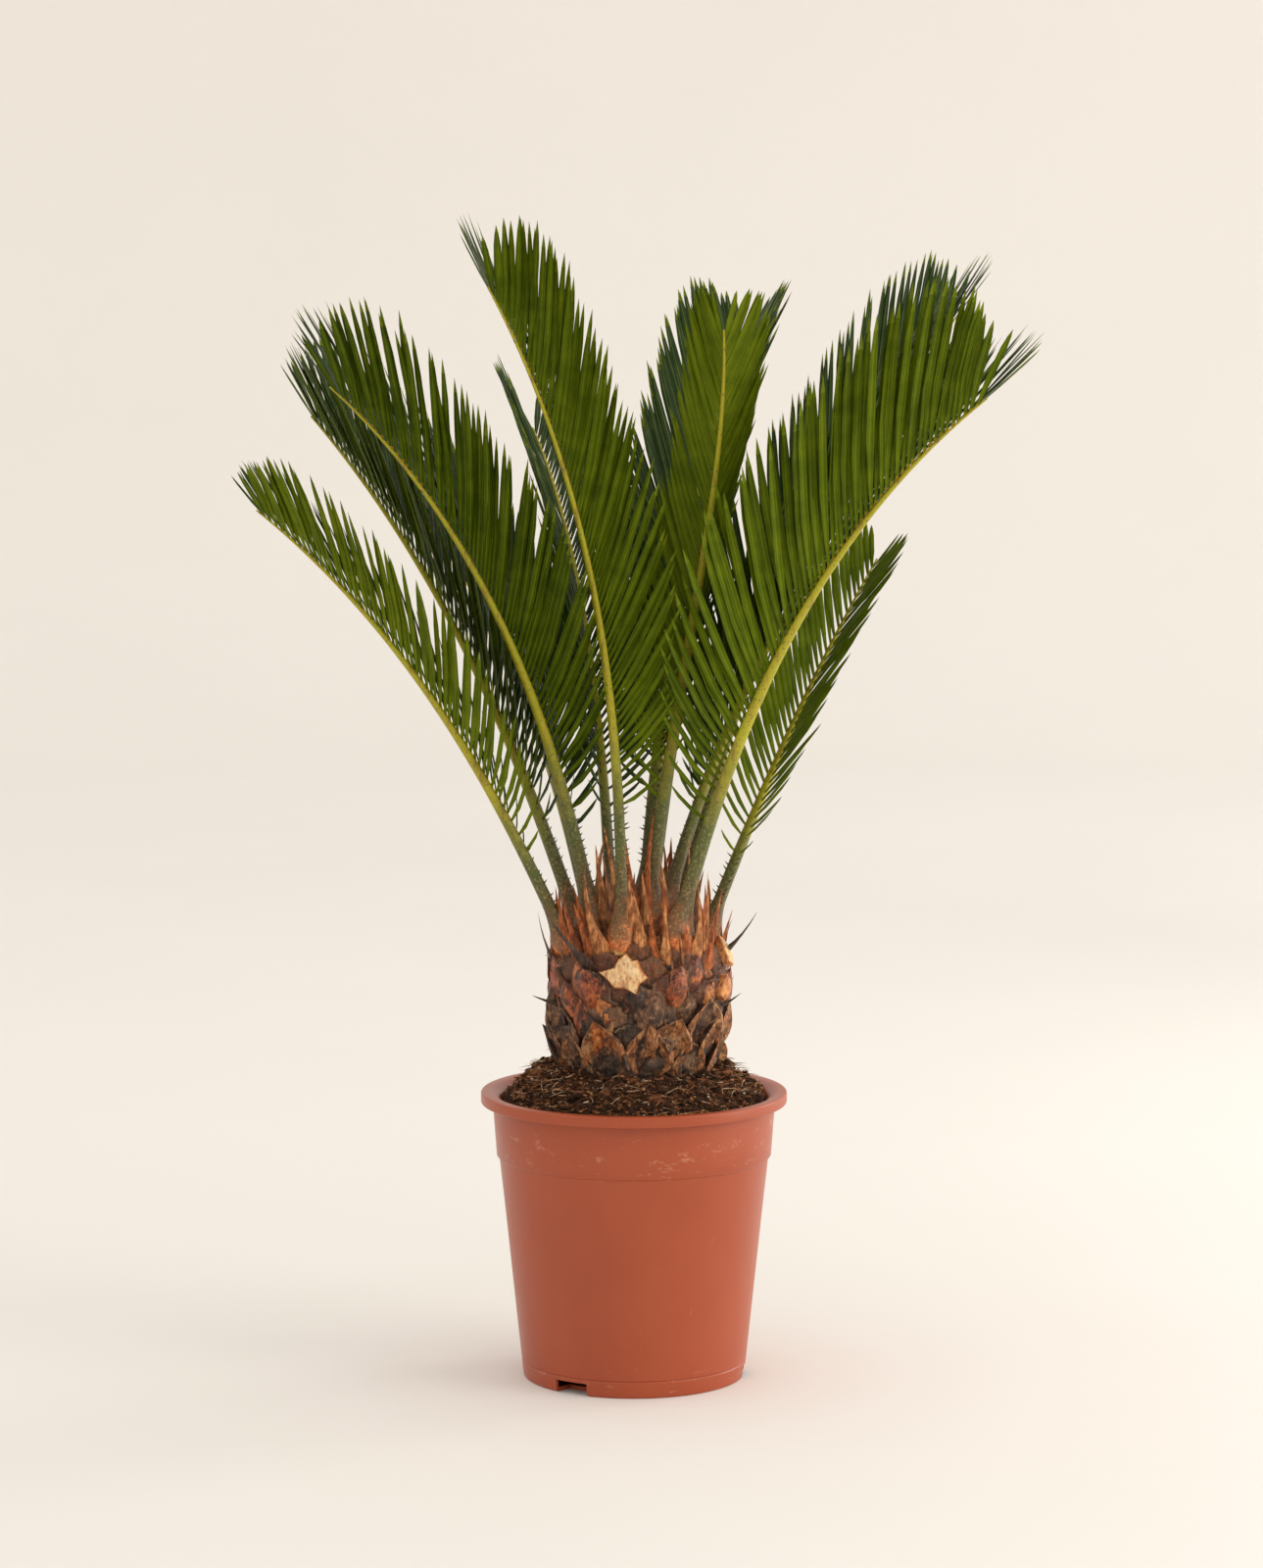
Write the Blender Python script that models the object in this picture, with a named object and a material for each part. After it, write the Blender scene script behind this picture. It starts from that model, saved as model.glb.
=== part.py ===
"""A potted sago palm: a turned plastic pot, its compost, a scaly trunk and a crown of feather-like fronds.

Metres, +Z up. The origin is the middle of the flat underside of the pot, and the plant faces -Y.
"""

import math
from typing import NamedTuple

import bmesh
import bpy
from mathutils import Matrix, Vector
from mathutils.bvhtree import BVHTree

# Clearance between pieces that touch
GAP = 0.0003
CUTTER_SPARE = 0.01

# Pot
POT_SIDES = 48
POT_HEIGHT = 0.179
RIM_RADIUS = 0.095
LIP_HEIGHT = 0.007
LIP_ROUND = 0.0012
COLLAR_TOP_RADIUS = 0.0876
COLLAR_FOOT_RADIUS = 0.0853
COLLAR_FOOT_HEIGHT = 0.139
STEP_WIDTH = 0.0018
FOOT_RADIUS = 0.0690
FOOT_ROUND = 0.0015
CREASE_HEIGHT = 0.0105
CREASE_DEPTH = 0.0004
WALL = 0.0018
FLOOR = 0.0025
DRAIN_COUNT = 3
DRAIN_FIRST = math.radians(-124.0)
DRAIN_WIDTH = 0.0185
DRAIN_HEIGHT = 0.0080
DRAIN_REACH = 0.0120

# Compost
SOIL_SIDES = 40
SOIL_EDGE_DROP = 0.0055
SOIL_DIP = 0.0010
SOIL_DRAIN_CLEARANCE = 0.0010
SOIL_MOUND_HEIGHT = 0.1935
SOIL_MOUND_RADIUS = 0.0585
SOIL_SEAT_HEIGHT = 0.1860

# Trunk
TRUNK_CENTRE = Vector((0.003, 0.0, 0.0))
TRUNK_FOOT_HEIGHT = SOIL_SEAT_HEIGHT + GAP
TRUNK_FOOT_RADIUS = 0.0465
TRUNK_BELLY_HEIGHT = 0.254
TRUNK_BELLY_RADIUS = 0.0545
TRUNK_TOP_HEIGHT = 0.296
TRUNK_SIDES = 24
DOME_POWER = 2.0
SCALE_COUNT = 52
SCALE_LOWEST = 0.2075
SCALE_HIGHEST = 0.257
SCALE_WIDTH = 0.026
SCALE_TALL = 0.021
SCALE_PROUD = 0.0035
SCALE_PROUD_CHANGE = 0.35
SCALE_FACE_SHARE = 0.72
SCALE_TILT = 0.12
GOLDEN_ANGLE = math.radians(137.508)
BRACT_COUNT = 42
BRACT_LENGTH = 0.054
BRACT_RADIUS = 0.0042
BRACT_FLAT = 0.55
BRACT_SINK = 0.0050
BRACT_RING = (0.35, 0.91)
BRACT_LEAN = (0.10, 0.52)
BRACT_LENGTH_SHARE = (1.15, 0.70)
BRACT_LENGTH_CHANGE = 0.25

# Fronds
FROND_STEPS = 12
RIB_SINK = 0.007
ARCH_POWER = 1.5
BLADE_START = 0.2
BLADE_END = 0.985
FLARE_END = 0.07
FLARE = 1.4
TIP_RADIUS = 0.0010
KEEL = math.radians(40.0)
LEAFLET_SPACING = 0.0155
LEAFLET_FILL = 0.9
LEAFLET_LEAST_WIDTH = 0.0030
LEAFLET_THICK = 0.0013
LEAFLET_BELLY = 0.38
LEAFLET_ROOT_SHARE = 0.6
LEAFLET_CURVE = 0.05
ROOT_SINK = 0.5
TIP_ANGLE = math.radians(26.0)
FOOT_ANGLE = math.radians(68.0)
ANGLE_POWER = 1.4
CLOSING_SPAN = 0.12
CLOSED_SHARE = 0.25
FOOT_LENGTH_SHARE = 0.32
FULL_LENGTH_AT = 0.35
SHORTENING_FROM = 0.8
SHORTENING = 0.5
TEST_MARGIN = 0.0008
SHORTER_TRIES = (1.0, 0.85, 0.7, 0.55, 0.4)


class Frond(NamedTuple):
    """The named sizes of one frond: metres, and degrees for every angle."""

    name: str
    seat: tuple
    heading: float
    lean: float
    arch: float
    sweep: float
    length: float
    roll: float
    leaflet: float
    spread: float
    stalk: float


FRONDS = (
    Frond("frond_01", (-0.007, -0.036), 218, 1, 36, 7, 0.412, -5, 0.097, 1.00, 0.0039),
    Frond("frond_02", (0.026, -0.032), 343, 16, 36, 0, 0.385, -20, 0.110, 1.20, 0.0054),
    Frond("frond_03", (0.019, 0.008), 350, 17, 34, 6, 0.365, 0, 0.100, 1.00, 0.0045),
    Frond("frond_04", (0.046, 0.002), 37, 27, 10, 0, 0.275, 22, 0.085, 1.00, 0.0041),
    Frond("frond_05", (0.009, -0.015), 358, 7, 20, -93, 0.370, -10, 0.095, 0.70, 0.0055),
    Frond("frond_06", (0.007, 0.023), 66, 10, 36, 0, 0.388, 0, 0.088, 0.70, 0.0045),
    Frond("frond_07", (-0.025, -0.012), 205, 13, 36, -3, 0.375, 3, 0.105, 1.00, 0.0047),
    Frond("frond_08", (-0.035, 0.005), 175, 19, 22, 0, 0.355, -5, 0.100, 1.00, 0.0048),
    Frond("frond_09", (-0.042, -0.014), 196, 25, 26, -6, 0.330, 5, 0.076, 1.00, 0.0045),
    Frond("frond_10", (-0.014, 0.018), 111, 8, 45, 0, 0.335, 10, 0.090, 0.90, 0.0036),
    Frond("frond_11", (-0.026, 0.034), 139, 17, 40, 0, 0.330, 0, 0.090, 1.00, 0.0045),
    Frond("frond_12", (0.026, 0.031), 29, 17, 30, 0, 0.430, 0, 0.100, 1.00, 0.0045),
)


def clear_scene():
    for item in list(bpy.data.objects):
        bpy.data.objects.remove(item, do_unlink=True)
    for group in list(bpy.data.collections):
        bpy.data.collections.remove(group)


def new_collection(name):
    group = bpy.data.collections.new(name)
    bpy.context.scene.collection.children.link(group)
    return group


def new_material(name, colour, roughness):
    made = bpy.data.materials.new(name)
    made.use_nodes = True
    shader = made.node_tree.nodes["Principled BSDF"]
    shader.inputs["Base Color"].default_value = (*colour, 1.0)
    shader.inputs["Roughness"].default_value = roughness
    shader.inputs["Metallic"].default_value = 0.0
    return made


def object_of(shape, name, group, material=None):
    """A new object with the mesh of this bmesh, which is freed."""
    mesh = bpy.data.meshes.new(name)
    shape.to_mesh(mesh)
    shape.free()
    made = bpy.data.objects.new(name, mesh)
    if material:
        mesh.materials.append(material)
    group.objects.link(made)
    return made


def shade(made, sharp_over):
    made.data.shade_smooth()
    made.data.set_sharp_from_angle(angle=math.radians(sharp_over))


def turned(profile, sides, centre=(0.0, 0.0)):
    """A closed bmesh turned round the upright line at centre.

    The profile's points are (radius, height), down the outer side, and it starts and ends on the axis.
    """
    shape = bmesh.new()
    points = [shape.verts.new((radius, 0.0, height)) for radius, height in profile]
    edges = [shape.edges.new(pair) for pair in zip(points, points[1:])]
    bmesh.ops.spin(
        shape,
        geom=points + edges,
        cent=(0.0, 0.0, 0.0),
        axis=(0.0, 0.0, 1.0),
        angle=math.tau,
        steps=sides,
        use_merge=True,
    )
    bmesh.ops.remove_doubles(shape, verts=shape.verts, dist=0.00001)
    bmesh.ops.recalc_face_normals(shape, faces=shape.faces)
    bmesh.ops.translate(shape, verts=shape.verts, vec=(*centre, 0.0))
    return shape


def touches(shape, trees):
    own = BVHTree.FromBMesh(shape)
    return any(own.overlap(tree) for tree in trees)


def mix(ends, share):
    """The value at this share of the way between two ends."""
    return ends[0] + (ends[1] - ends[0]) * share


def boolean(made, operation, operand):
    """Applies one Boolean to an object. The operand is an object or a collection."""
    modifier = made.modifiers.new(operation.title(), "BOOLEAN")
    modifier.operation = operation
    modifier.solver = "EXACT"
    if isinstance(operand, bpy.types.Collection):
        modifier.operand_type = "COLLECTION"
        modifier.collection = operand
    else:
        modifier.object = operand
    bpy.context.view_layer.update()
    graph = bpy.context.evaluated_depsgraph_get()
    result = bpy.data.meshes.new_from_object(made.evaluated_get(graph))
    made.modifiers.remove(modifier)
    made.data = result


def drop_all(group):
    for item in list(group.objects):
        bpy.data.objects.remove(item, do_unlink=True)


# Pot and compost


def inner_radius(height):
    """Radius of the pot's bore: it follows the tapered outside one wall thickness in."""
    share = height / (POT_HEIGHT - LIP_HEIGHT)
    outer = FOOT_RADIUS + (COLLAR_FOOT_RADIUS - STEP_WIDTH - FOOT_RADIUS) * share
    return outer - WALL


def quarter(centre_radius, centre_height, size, start):
    """Three points of a quarter round, clockwise from the start angle in degrees."""
    return [
        (
            centre_radius + size * math.cos(math.radians(start - turn)),
            centre_height + size * math.sin(math.radians(start - turn)),
        )
        for turn in (0, 45, 90)
    ]


def pot_profile():
    step_radius = COLLAR_FOOT_RADIUS - STEP_WIDTH
    slope = (step_radius - FOOT_RADIUS) / COLLAR_FOOT_HEIGHT
    crease_radius = FOOT_RADIUS + slope * CREASE_HEIGHT
    lip_foot = POT_HEIGHT - LIP_HEIGHT
    profile = [(inner_radius(lip_foot) + WALL, POT_HEIGHT)]
    profile += quarter(RIM_RADIUS - LIP_ROUND, POT_HEIGHT - LIP_ROUND, LIP_ROUND, 90)
    profile += quarter(RIM_RADIUS - LIP_ROUND, lip_foot + LIP_ROUND, LIP_ROUND, 0)
    profile += [
        (COLLAR_TOP_RADIUS, lip_foot),
        (COLLAR_FOOT_RADIUS, COLLAR_FOOT_HEIGHT),
        (step_radius, COLLAR_FOOT_HEIGHT - STEP_WIDTH / 2),
        (crease_radius, CREASE_HEIGHT),
        (crease_radius - CREASE_DEPTH, CREASE_HEIGHT - CREASE_DEPTH),
    ]
    profile += quarter(FOOT_RADIUS - FOOT_ROUND, FOOT_ROUND, FOOT_ROUND, 0)[1:]
    profile += [(0.0, 0.0), (0.0, FLOOR), (inner_radius(FLOOR), FLOOR)]
    profile += [(inner_radius(lip_foot), lip_foot), (inner_radius(lip_foot) + WALL, POT_HEIGHT)]
    return profile


def drain_cutter(group, turn, grow):
    """A block across the corner of the floor at this heading, open below and outside."""
    reach = DRAIN_REACH + grow + CUTTER_SPARE
    middle = FOOT_RADIUS - DRAIN_REACH - grow + reach / 2
    tall = 2 * (DRAIN_HEIGHT + grow)
    shape = bmesh.new()
    bmesh.ops.create_cube(shape, size=1.0)
    bmesh.ops.scale(shape, vec=(reach, DRAIN_WIDTH + 2 * grow, tall), verts=shape.verts)
    bmesh.ops.translate(shape, vec=(middle, 0.0, 0.0), verts=shape.verts)
    bmesh.ops.rotate(shape, matrix=Matrix.Rotation(turn, 3, "Z"), verts=shape.verts)
    cutter = object_of(shape, "drain_cutter", group)
    cutter.hide_render = True
    cutter.display_type = "WIRE"
    return cutter


def cut_drains(made, cutters, grow):
    for index in range(DRAIN_COUNT):
        turn = DRAIN_FIRST + math.tau * index / DRAIN_COUNT
        boolean(made, "DIFFERENCE", drain_cutter(cutters, turn, grow))
    drop_all(cutters)


def make_pot(group, cutters):
    material = new_material("terracotta_plastic", (0.38, 0.085, 0.035), 0.5)
    pot = object_of(turned(pot_profile(), POT_SIDES), "pot", group, material)
    cut_drains(pot, cutters, 0.0)
    shade(pot, 40)
    return pot


def seat_cutter(group):
    """The round seat in the compost that the trunk's flat foot stands in."""
    seat_radius = trunk_radius(SOIL_MOUND_HEIGHT) / math.cos(math.pi / TRUNK_SIDES) + GAP
    depth = SOIL_MOUND_HEIGHT - SOIL_SEAT_HEIGHT + CUTTER_SPARE
    shape = bmesh.new()
    bmesh.ops.create_cone(
        shape,
        cap_ends=True,
        segments=TRUNK_SIDES,
        radius1=seat_radius,
        radius2=seat_radius,
        depth=depth,
    )
    middle = TRUNK_CENTRE + Vector((0.0, 0.0, SOIL_SEAT_HEIGHT + depth / 2))
    bmesh.ops.translate(shape, vec=middle, verts=shape.verts)
    cutter = object_of(shape, "seat_cutter", group)
    cutter.hide_render = True
    cutter.display_type = "WIRE"
    return cutter


def make_soil(group, cutters):
    """Compost fills the pot a gap clear of it, and rises in a low mound to the trunk."""
    edge_height = POT_HEIGHT - SOIL_EDGE_DROP
    edge = inner_radius(min(edge_height, POT_HEIGHT - LIP_HEIGHT)) - GAP
    profile = [
        (0.0, SOIL_MOUND_HEIGHT),
        (SOIL_MOUND_RADIUS, SOIL_MOUND_HEIGHT),
        ((SOIL_MOUND_RADIUS + edge) / 2, (SOIL_MOUND_HEIGHT + edge_height) / 2 - SOIL_DIP),
        (edge, edge_height),
        (inner_radius(FLOOR) - GAP, FLOOR + GAP),
        (0.0, FLOOR + GAP),
    ]
    material = new_material("compost", (0.035, 0.022, 0.014), 0.95)
    soil = object_of(turned(profile, SOIL_SIDES), "soil", group, material)
    cut_drains(soil, cutters, SOIL_DRAIN_CLEARANCE)
    boolean(soil, "DIFFERENCE", seat_cutter(cutters))
    drop_all(cutters)
    shade(soil, 40)
    return soil


# Trunk


def trunk_radius(height):
    """Radius of the trunk's core: a barrel from the foot to the belly, and a dome above it."""
    if height <= TRUNK_BELLY_HEIGHT:
        share = (height - TRUNK_FOOT_HEIGHT) / (TRUNK_BELLY_HEIGHT - TRUNK_FOOT_HEIGHT)
        swell = math.sin(math.pi / 2 * share)
        return TRUNK_FOOT_RADIUS + (TRUNK_BELLY_RADIUS - TRUNK_FOOT_RADIUS) * swell
    share = (height - TRUNK_BELLY_HEIGHT) / (TRUNK_TOP_HEIGHT - TRUNK_BELLY_HEIGHT)
    return TRUNK_BELLY_RADIUS * math.sqrt(max(0.0, 1.0 - share**DOME_POWER))


def dome_height(radius):
    """Height of the dome at this distance from the trunk's own axis."""
    share = (1.0 - (radius / TRUNK_BELLY_RADIUS) ** 2) ** (1 / DOME_POWER)
    return TRUNK_BELLY_HEIGHT + (TRUNK_TOP_HEIGHT - TRUNK_BELLY_HEIGHT) * share


def trunk_core(grow):
    """The plain barrel of the trunk, widened and raised by this much."""
    rise = TRUNK_TOP_HEIGHT - TRUNK_BELLY_HEIGHT
    heights = [TRUNK_BELLY_HEIGHT + rise * share for share in (0.97, 0.88, 0.72, 0.5, 0.25)]
    fall = TRUNK_BELLY_HEIGHT - TRUNK_FOOT_HEIGHT
    heights += [TRUNK_BELLY_HEIGHT - fall * share for share in (0.0, 0.33, 0.66, 1.0)]
    profile = [(0.0, TRUNK_TOP_HEIGHT + grow)]
    profile += [(trunk_radius(height) + grow, height + grow) for height in heights]
    profile.append((0.0, TRUNK_FOOT_HEIGHT + grow))
    return turned(profile, TRUNK_SIDES, TRUNK_CENTRE.xy)


def axes_to(direction, across):
    """Rotation whose Z is the direction and whose Y is nearest to across."""
    z_axis = direction.normalized()
    y_axis = (across - across.dot(z_axis) * z_axis).normalized()
    x_axis = y_axis.cross(z_axis)
    return Matrix((x_axis, y_axis, z_axis)).transposed()


def spike(sides, root, belly, belly_share, length, flat, curve):
    """A slim closed spike along +Z: a ring at the root, a ring at the belly and a point.

    Args are half widths and lengths; flat is its thickness over its width, and curve moves the
    point towards +Y by that share of the length.
    """
    shape = bmesh.new()
    depth = belly_share * length
    bmesh.ops.create_cone(
        shape, cap_ends=True, segments=sides, radius1=root, radius2=belly, depth=depth
    )
    bmesh.ops.translate(shape, vec=(0.0, 0.0, depth / 2), verts=shape.verts)
    bmesh.ops.scale(shape, vec=(flat, 1.0, 1.0), verts=shape.verts)
    top = [face for face in shape.faces if all(v.co.z > depth * 0.999 for v in face.verts)]
    grown = bmesh.ops.extrude_discrete_faces(shape, faces=top)
    point = (0.0, curve * length, length)
    bmesh.ops.pointmerge(shape, verts=grown["faces"][0].verts, merge_co=point)
    bmesh.ops.recalc_face_normals(shape, faces=shape.faces)
    return shape


def placed(shape, rotation, place):
    bmesh.ops.rotate(shape, matrix=rotation, verts=shape.verts)
    bmesh.ops.translate(shape, vec=place, verts=shape.verts)
    return shape


def trunk_point(turn, height):
    radius = trunk_radius(height)
    return TRUNK_CENTRE + Vector((radius * math.cos(turn), radius * math.sin(turn), height))


def leaf_base(index):
    """One rhomb of a shed leaf's base, on a golden-angle spiral up the barrel."""
    share = index / (SCALE_COUNT - 1)
    height = SCALE_LOWEST + (SCALE_HIGHEST - SCALE_LOWEST) * share
    turn = index * GOLDEN_ANGLE
    outward = Vector((math.cos(turn), math.sin(turn), SCALE_TILT))
    proud = SCALE_PROUD * (1.0 + SCALE_PROUD_CHANGE * math.sin(index * 2.1))
    shape = bmesh.new()
    bmesh.ops.create_cone(
        shape,
        cap_ends=True,
        segments=4,
        radius1=SCALE_WIDTH / 2,
        radius2=SCALE_FACE_SHARE * SCALE_WIDTH / 2,
        depth=2 * proud,
    )
    bmesh.ops.scale(shape, vec=(SCALE_TALL / SCALE_WIDTH, 1.0, 1.0), verts=shape.verts)
    across = Vector((-math.sin(turn), math.cos(turn), 0.0))
    return placed(shape, axes_to(outward, across), trunk_point(turn, height))


def bract(index):
    """One pointed scale leaf of the crown, between the stalks."""
    share = (index + 0.5) / BRACT_COUNT
    radius = TRUNK_BELLY_RADIUS * mix(BRACT_RING, math.sqrt(share))
    turn = (index + 0.25) * GOLDEN_ANGLE
    lean = mix(BRACT_LEAN, share)
    change = 1.0 + BRACT_LENGTH_CHANGE * math.sin(index * 1.7)
    length = BRACT_LENGTH * mix(BRACT_LENGTH_SHARE, share) * change
    direction = Vector((lean * math.cos(turn), lean * math.sin(turn), 1.0))
    across = Vector((-math.sin(turn), math.cos(turn), 0.0))
    shape = spike(3, BRACT_RADIUS, BRACT_RADIUS * 0.9, 0.3, length, BRACT_FLAT, 0.02)
    height = dome_height(radius) - BRACT_SINK
    foot = TRUNK_CENTRE + Vector((radius * math.cos(turn), radius * math.sin(turn), height))
    return placed(shape, axes_to(direction, across), foot)


def make_trunk(group, pieces, stalks):
    """The barrel with its leaf bases and the pointed scale leaves that clear every stalk."""
    material = new_material("trunk_bark", (0.10, 0.055, 0.035), 0.9)
    trunk = object_of(trunk_core(0.0), "trunk", group, material)
    shapes = [leaf_base(index) for index in range(SCALE_COUNT)]
    shapes += [bract(index) for index in range(BRACT_COUNT)]
    for shape in shapes:
        if touches(shape, stalks):
            shape.free()
        else:
            object_of(shape, "trunk_piece", pieces)
    boolean(trunk, "UNION", pieces)
    drop_all(pieces)
    trunk.data.materials.clear()
    trunk.data.materials.append(material)
    shade(trunk, 30)
    return trunk


# Fronds


def seat_of(frond):
    x, y = frond.seat
    radius = math.hypot(x - TRUNK_CENTRE.x, y - TRUNK_CENTRE.y)
    return Vector((x, y, dome_height(radius)))


def direction_at(frond, share):
    """Unit tangent of the rib at this share of its length."""
    lean = math.radians(frond.lean + frond.arch * share**ARCH_POWER)
    heading = math.radians(frond.heading + frond.sweep * share)
    flat = math.sin(lean)
    return Vector((flat * math.cos(heading), flat * math.sin(heading), math.cos(lean)))


def rib_points(frond):
    """Points along the rib, from just inside the dome to its tip."""
    step = frond.length / FROND_STEPS
    seat = seat_of(frond)
    points = [seat - direction_at(frond, 0.0) * RIB_SINK, seat]
    for index in range(FROND_STEPS):
        points.append(points[-1] + direction_at(frond, (index + 0.5) / FROND_STEPS) * step)
    return points


def rib_radius(frond, share):
    if share < FLARE_END:
        return frond.stalk * (FLARE + (1.0 - FLARE) * max(share, 0.0) / FLARE_END)
    if share < BLADE_START:
        return frond.stalk
    left = (1.0 - share) / (1.0 - BLADE_START)
    return TIP_RADIUS + (frond.stalk - TIP_RADIUS) * left


def rib_place(points, share):
    """The point at this share of the rib's length."""
    place = share * FROND_STEPS
    index = min(int(place), FROND_STEPS - 1)
    return points[index + 1].lerp(points[index + 2], place - index)


def make_rib(frond, group):
    """The stalk and rib as one tapering tube."""
    points = rib_points(frond)
    curve = bpy.data.curves.new(frond.name, "CURVE")
    curve.dimensions = "3D"
    curve.bevel_depth = 1.0
    curve.bevel_resolution = 1
    curve.use_fill_caps = True
    spline = curve.splines.new("POLY")
    flare_at = rib_place(points, FLARE_END)
    line = points[:2] + [flare_at] + points[2:]
    shares = [0.0, 0.0, FLARE_END] + [(index + 1) / FROND_STEPS for index in range(FROND_STEPS)]
    spline.points.add(len(line) - 1)
    for target, place, share in zip(spline.points, line, shares):
        target.co = (*place, 1.0)
        target.radius = rib_radius(frond, share)
    guide = bpy.data.objects.new(frond.name, curve)
    group.objects.link(guide)
    bpy.context.view_layer.update()
    graph = bpy.context.evaluated_depsgraph_get()
    mesh = bpy.data.meshes.new_from_object(guide.evaluated_get(graph))
    bpy.data.objects.remove(guide, do_unlink=True)
    shape = bmesh.new()
    shape.from_mesh(mesh)
    bmesh.ops.remove_doubles(shape, verts=shape.verts, dist=0.00001)
    bmesh.ops.recalc_face_normals(shape, faces=shape.faces)
    return object_of(shape, frond.name, group)


def blade_axes(frond, share):
    """Tangent, side and upper-face normal of the blade, turned by the frond's roll."""
    tangent = direction_at(frond, share)
    heading = math.radians(frond.heading + frond.sweep * share)
    side = Vector((math.sin(heading), -math.cos(heading), 0.0))
    upper = side.cross(tangent)
    roll = math.radians(frond.roll)
    upper = math.cos(roll) * upper + math.sin(roll) * side
    return tangent, tangent.cross(upper), upper


def leaflet_angle(frond, place):
    """Angle of a leaflet to the rib, by its place along the blade from 0 to 1."""
    opened = TIP_ANGLE + (FOOT_ANGLE - TIP_ANGLE) * (1.0 - place) ** ANGLE_POWER
    return opened * frond.spread * min(1.0, CLOSED_SHARE + (1.0 - place) / CLOSING_SPAN)


def leaflet_length(frond, place):
    reach = math.sin(math.pi / 2 * min(place / FULL_LENGTH_AT, 1.0))
    rise = FOOT_LENGTH_SHARE + (1.0 - FOOT_LENGTH_SHARE) * reach
    late = max(0.0, (place - SHORTENING_FROM) / (1.0 - SHORTENING_FROM))
    return frond.leaflet * rise * (1.0 - SHORTENING * late**2)


def leaflet(frond, points, place, side, pace, share, margin):
    """One leaflet as a three-sided blade with its ridge below, rooted inside the rib."""
    along = BLADE_START + (BLADE_END - BLADE_START) * place
    tangent, across, upper = blade_axes(frond, along)
    angle = leaflet_angle(frond, place)
    out = side * math.cos(KEEL) * across + math.sin(KEEL) * upper
    direction = math.cos(angle) * tangent + math.sin(angle) * out
    radius = rib_radius(frond, along)
    length = leaflet_length(frond, place) * share + margin
    width = max(LEAFLET_LEAST_WIDTH, LEAFLET_FILL * pace * math.sin(angle)) + margin
    half = width / math.sqrt(3.0)
    flat = (LEAFLET_THICK + margin) / (1.5 * half)
    root = half * LEAFLET_ROOT_SHARE
    shape = spike(3, root, half, LEAFLET_BELLY, length, flat, side * LEAFLET_CURVE)
    rotation = axes_to(direction, side * tangent)
    foot = rib_place(points, along) - direction * radius * ROOT_SINK
    return placed(shape, rotation, foot)


def tree_of(items):
    """One search tree over the meshes of these objects."""
    joined = bmesh.new()
    for item in items:
        joined.from_mesh(item.data)
    tree = BVHTree.FromBMesh(joined)
    joined.free()
    return tree


def grown_tree(made):
    """A search tree of an object's mesh pushed out along its normals by the test margin."""
    shape = bmesh.new()
    shape.from_mesh(made.data)
    for vert in shape.verts:
        vert.co += vert.normal * TEST_MARGIN
    tree = BVHTree.FromBMesh(shape)
    shape.free()
    return tree


def add_leaflets(frond, others, group):
    """Pairs of leaflets up the rib. One that would touch another frond is shortened, or skipped."""
    points = rib_points(frond)
    blade = frond.length * (BLADE_END - BLADE_START)
    pairs = round(blade / LEAFLET_SPACING)
    pace = blade / pairs
    for index in range(pairs + 1):
        for side in (1.0, -1.0):
            for share in SHORTER_TRIES:
                test = leaflet(frond, points, index / pairs, side, pace, share, TEST_MARGIN)
                blocked = touches(test, others)
                test.free()
                if not blocked:
                    shape = leaflet(frond, points, index / pairs, side, pace, share, 0.0)
                    object_of(shape, "leaflet", group)
                    break


def make_fronds(group, pieces, cutters):
    """Every rib first, then the leaflets frond by frond, each kept clear of all the others."""
    core = object_of(trunk_core(GAP), "trunk_clearance", cutters)
    ribs = [make_rib(frond, group) for frond in FRONDS]
    for rib in ribs:
        boolean(rib, "DIFFERENCE", core)
    drop_all(cutters)
    stalks = [grown_tree(rib) for rib in ribs]
    trees = [tree_of([rib]) for rib in ribs]
    material = new_material("frond_green", (0.055, 0.095, 0.018), 0.5)
    for index, (frond, rib) in enumerate(zip(FRONDS, ribs)):
        others = trees[:index] + trees[index + 1 :]
        add_leaflets(frond, others, pieces)
        trees[index] = tree_of([rib, *pieces.objects])
        boolean(rib, "UNION", pieces)
        drop_all(pieces)
        rib.data.materials.clear()
        rib.data.materials.append(material)
        shade(rib, 35)
    return stalks


def main():
    clear_scene()
    palm = new_collection("sago_palm")
    cutters = new_collection("cutters")
    pieces = new_collection("pieces")
    make_pot(palm, cutters)
    make_soil(palm, cutters)
    stalks = make_fronds(palm, pieces, cutters)
    make_trunk(palm, pieces, stalks)


main()
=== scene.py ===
"""Looks of a potted sago palm: fronds of fine leaflets, a scaly trunk, loose compost and a plastic pot."""

import logging
import math
import random
from dataclasses import asdict, dataclass, field
from enum import Enum

import bmesh
import bpy
import numpy as np
from mathutils import Matrix, Vector, noise

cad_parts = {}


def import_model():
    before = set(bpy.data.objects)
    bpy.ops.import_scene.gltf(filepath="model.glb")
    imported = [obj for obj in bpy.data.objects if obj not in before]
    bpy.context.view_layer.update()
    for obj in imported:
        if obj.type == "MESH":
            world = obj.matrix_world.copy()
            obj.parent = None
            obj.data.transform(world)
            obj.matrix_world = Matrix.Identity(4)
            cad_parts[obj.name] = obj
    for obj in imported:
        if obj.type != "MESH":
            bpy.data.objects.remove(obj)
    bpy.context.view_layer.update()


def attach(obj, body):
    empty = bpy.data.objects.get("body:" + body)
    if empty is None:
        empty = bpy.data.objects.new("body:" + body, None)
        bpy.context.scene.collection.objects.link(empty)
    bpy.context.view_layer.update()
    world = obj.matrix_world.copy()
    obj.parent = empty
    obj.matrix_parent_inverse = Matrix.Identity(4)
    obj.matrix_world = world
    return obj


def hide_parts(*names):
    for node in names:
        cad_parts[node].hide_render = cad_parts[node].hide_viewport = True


LOG = logging.getLogger("sago_palm")
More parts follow.
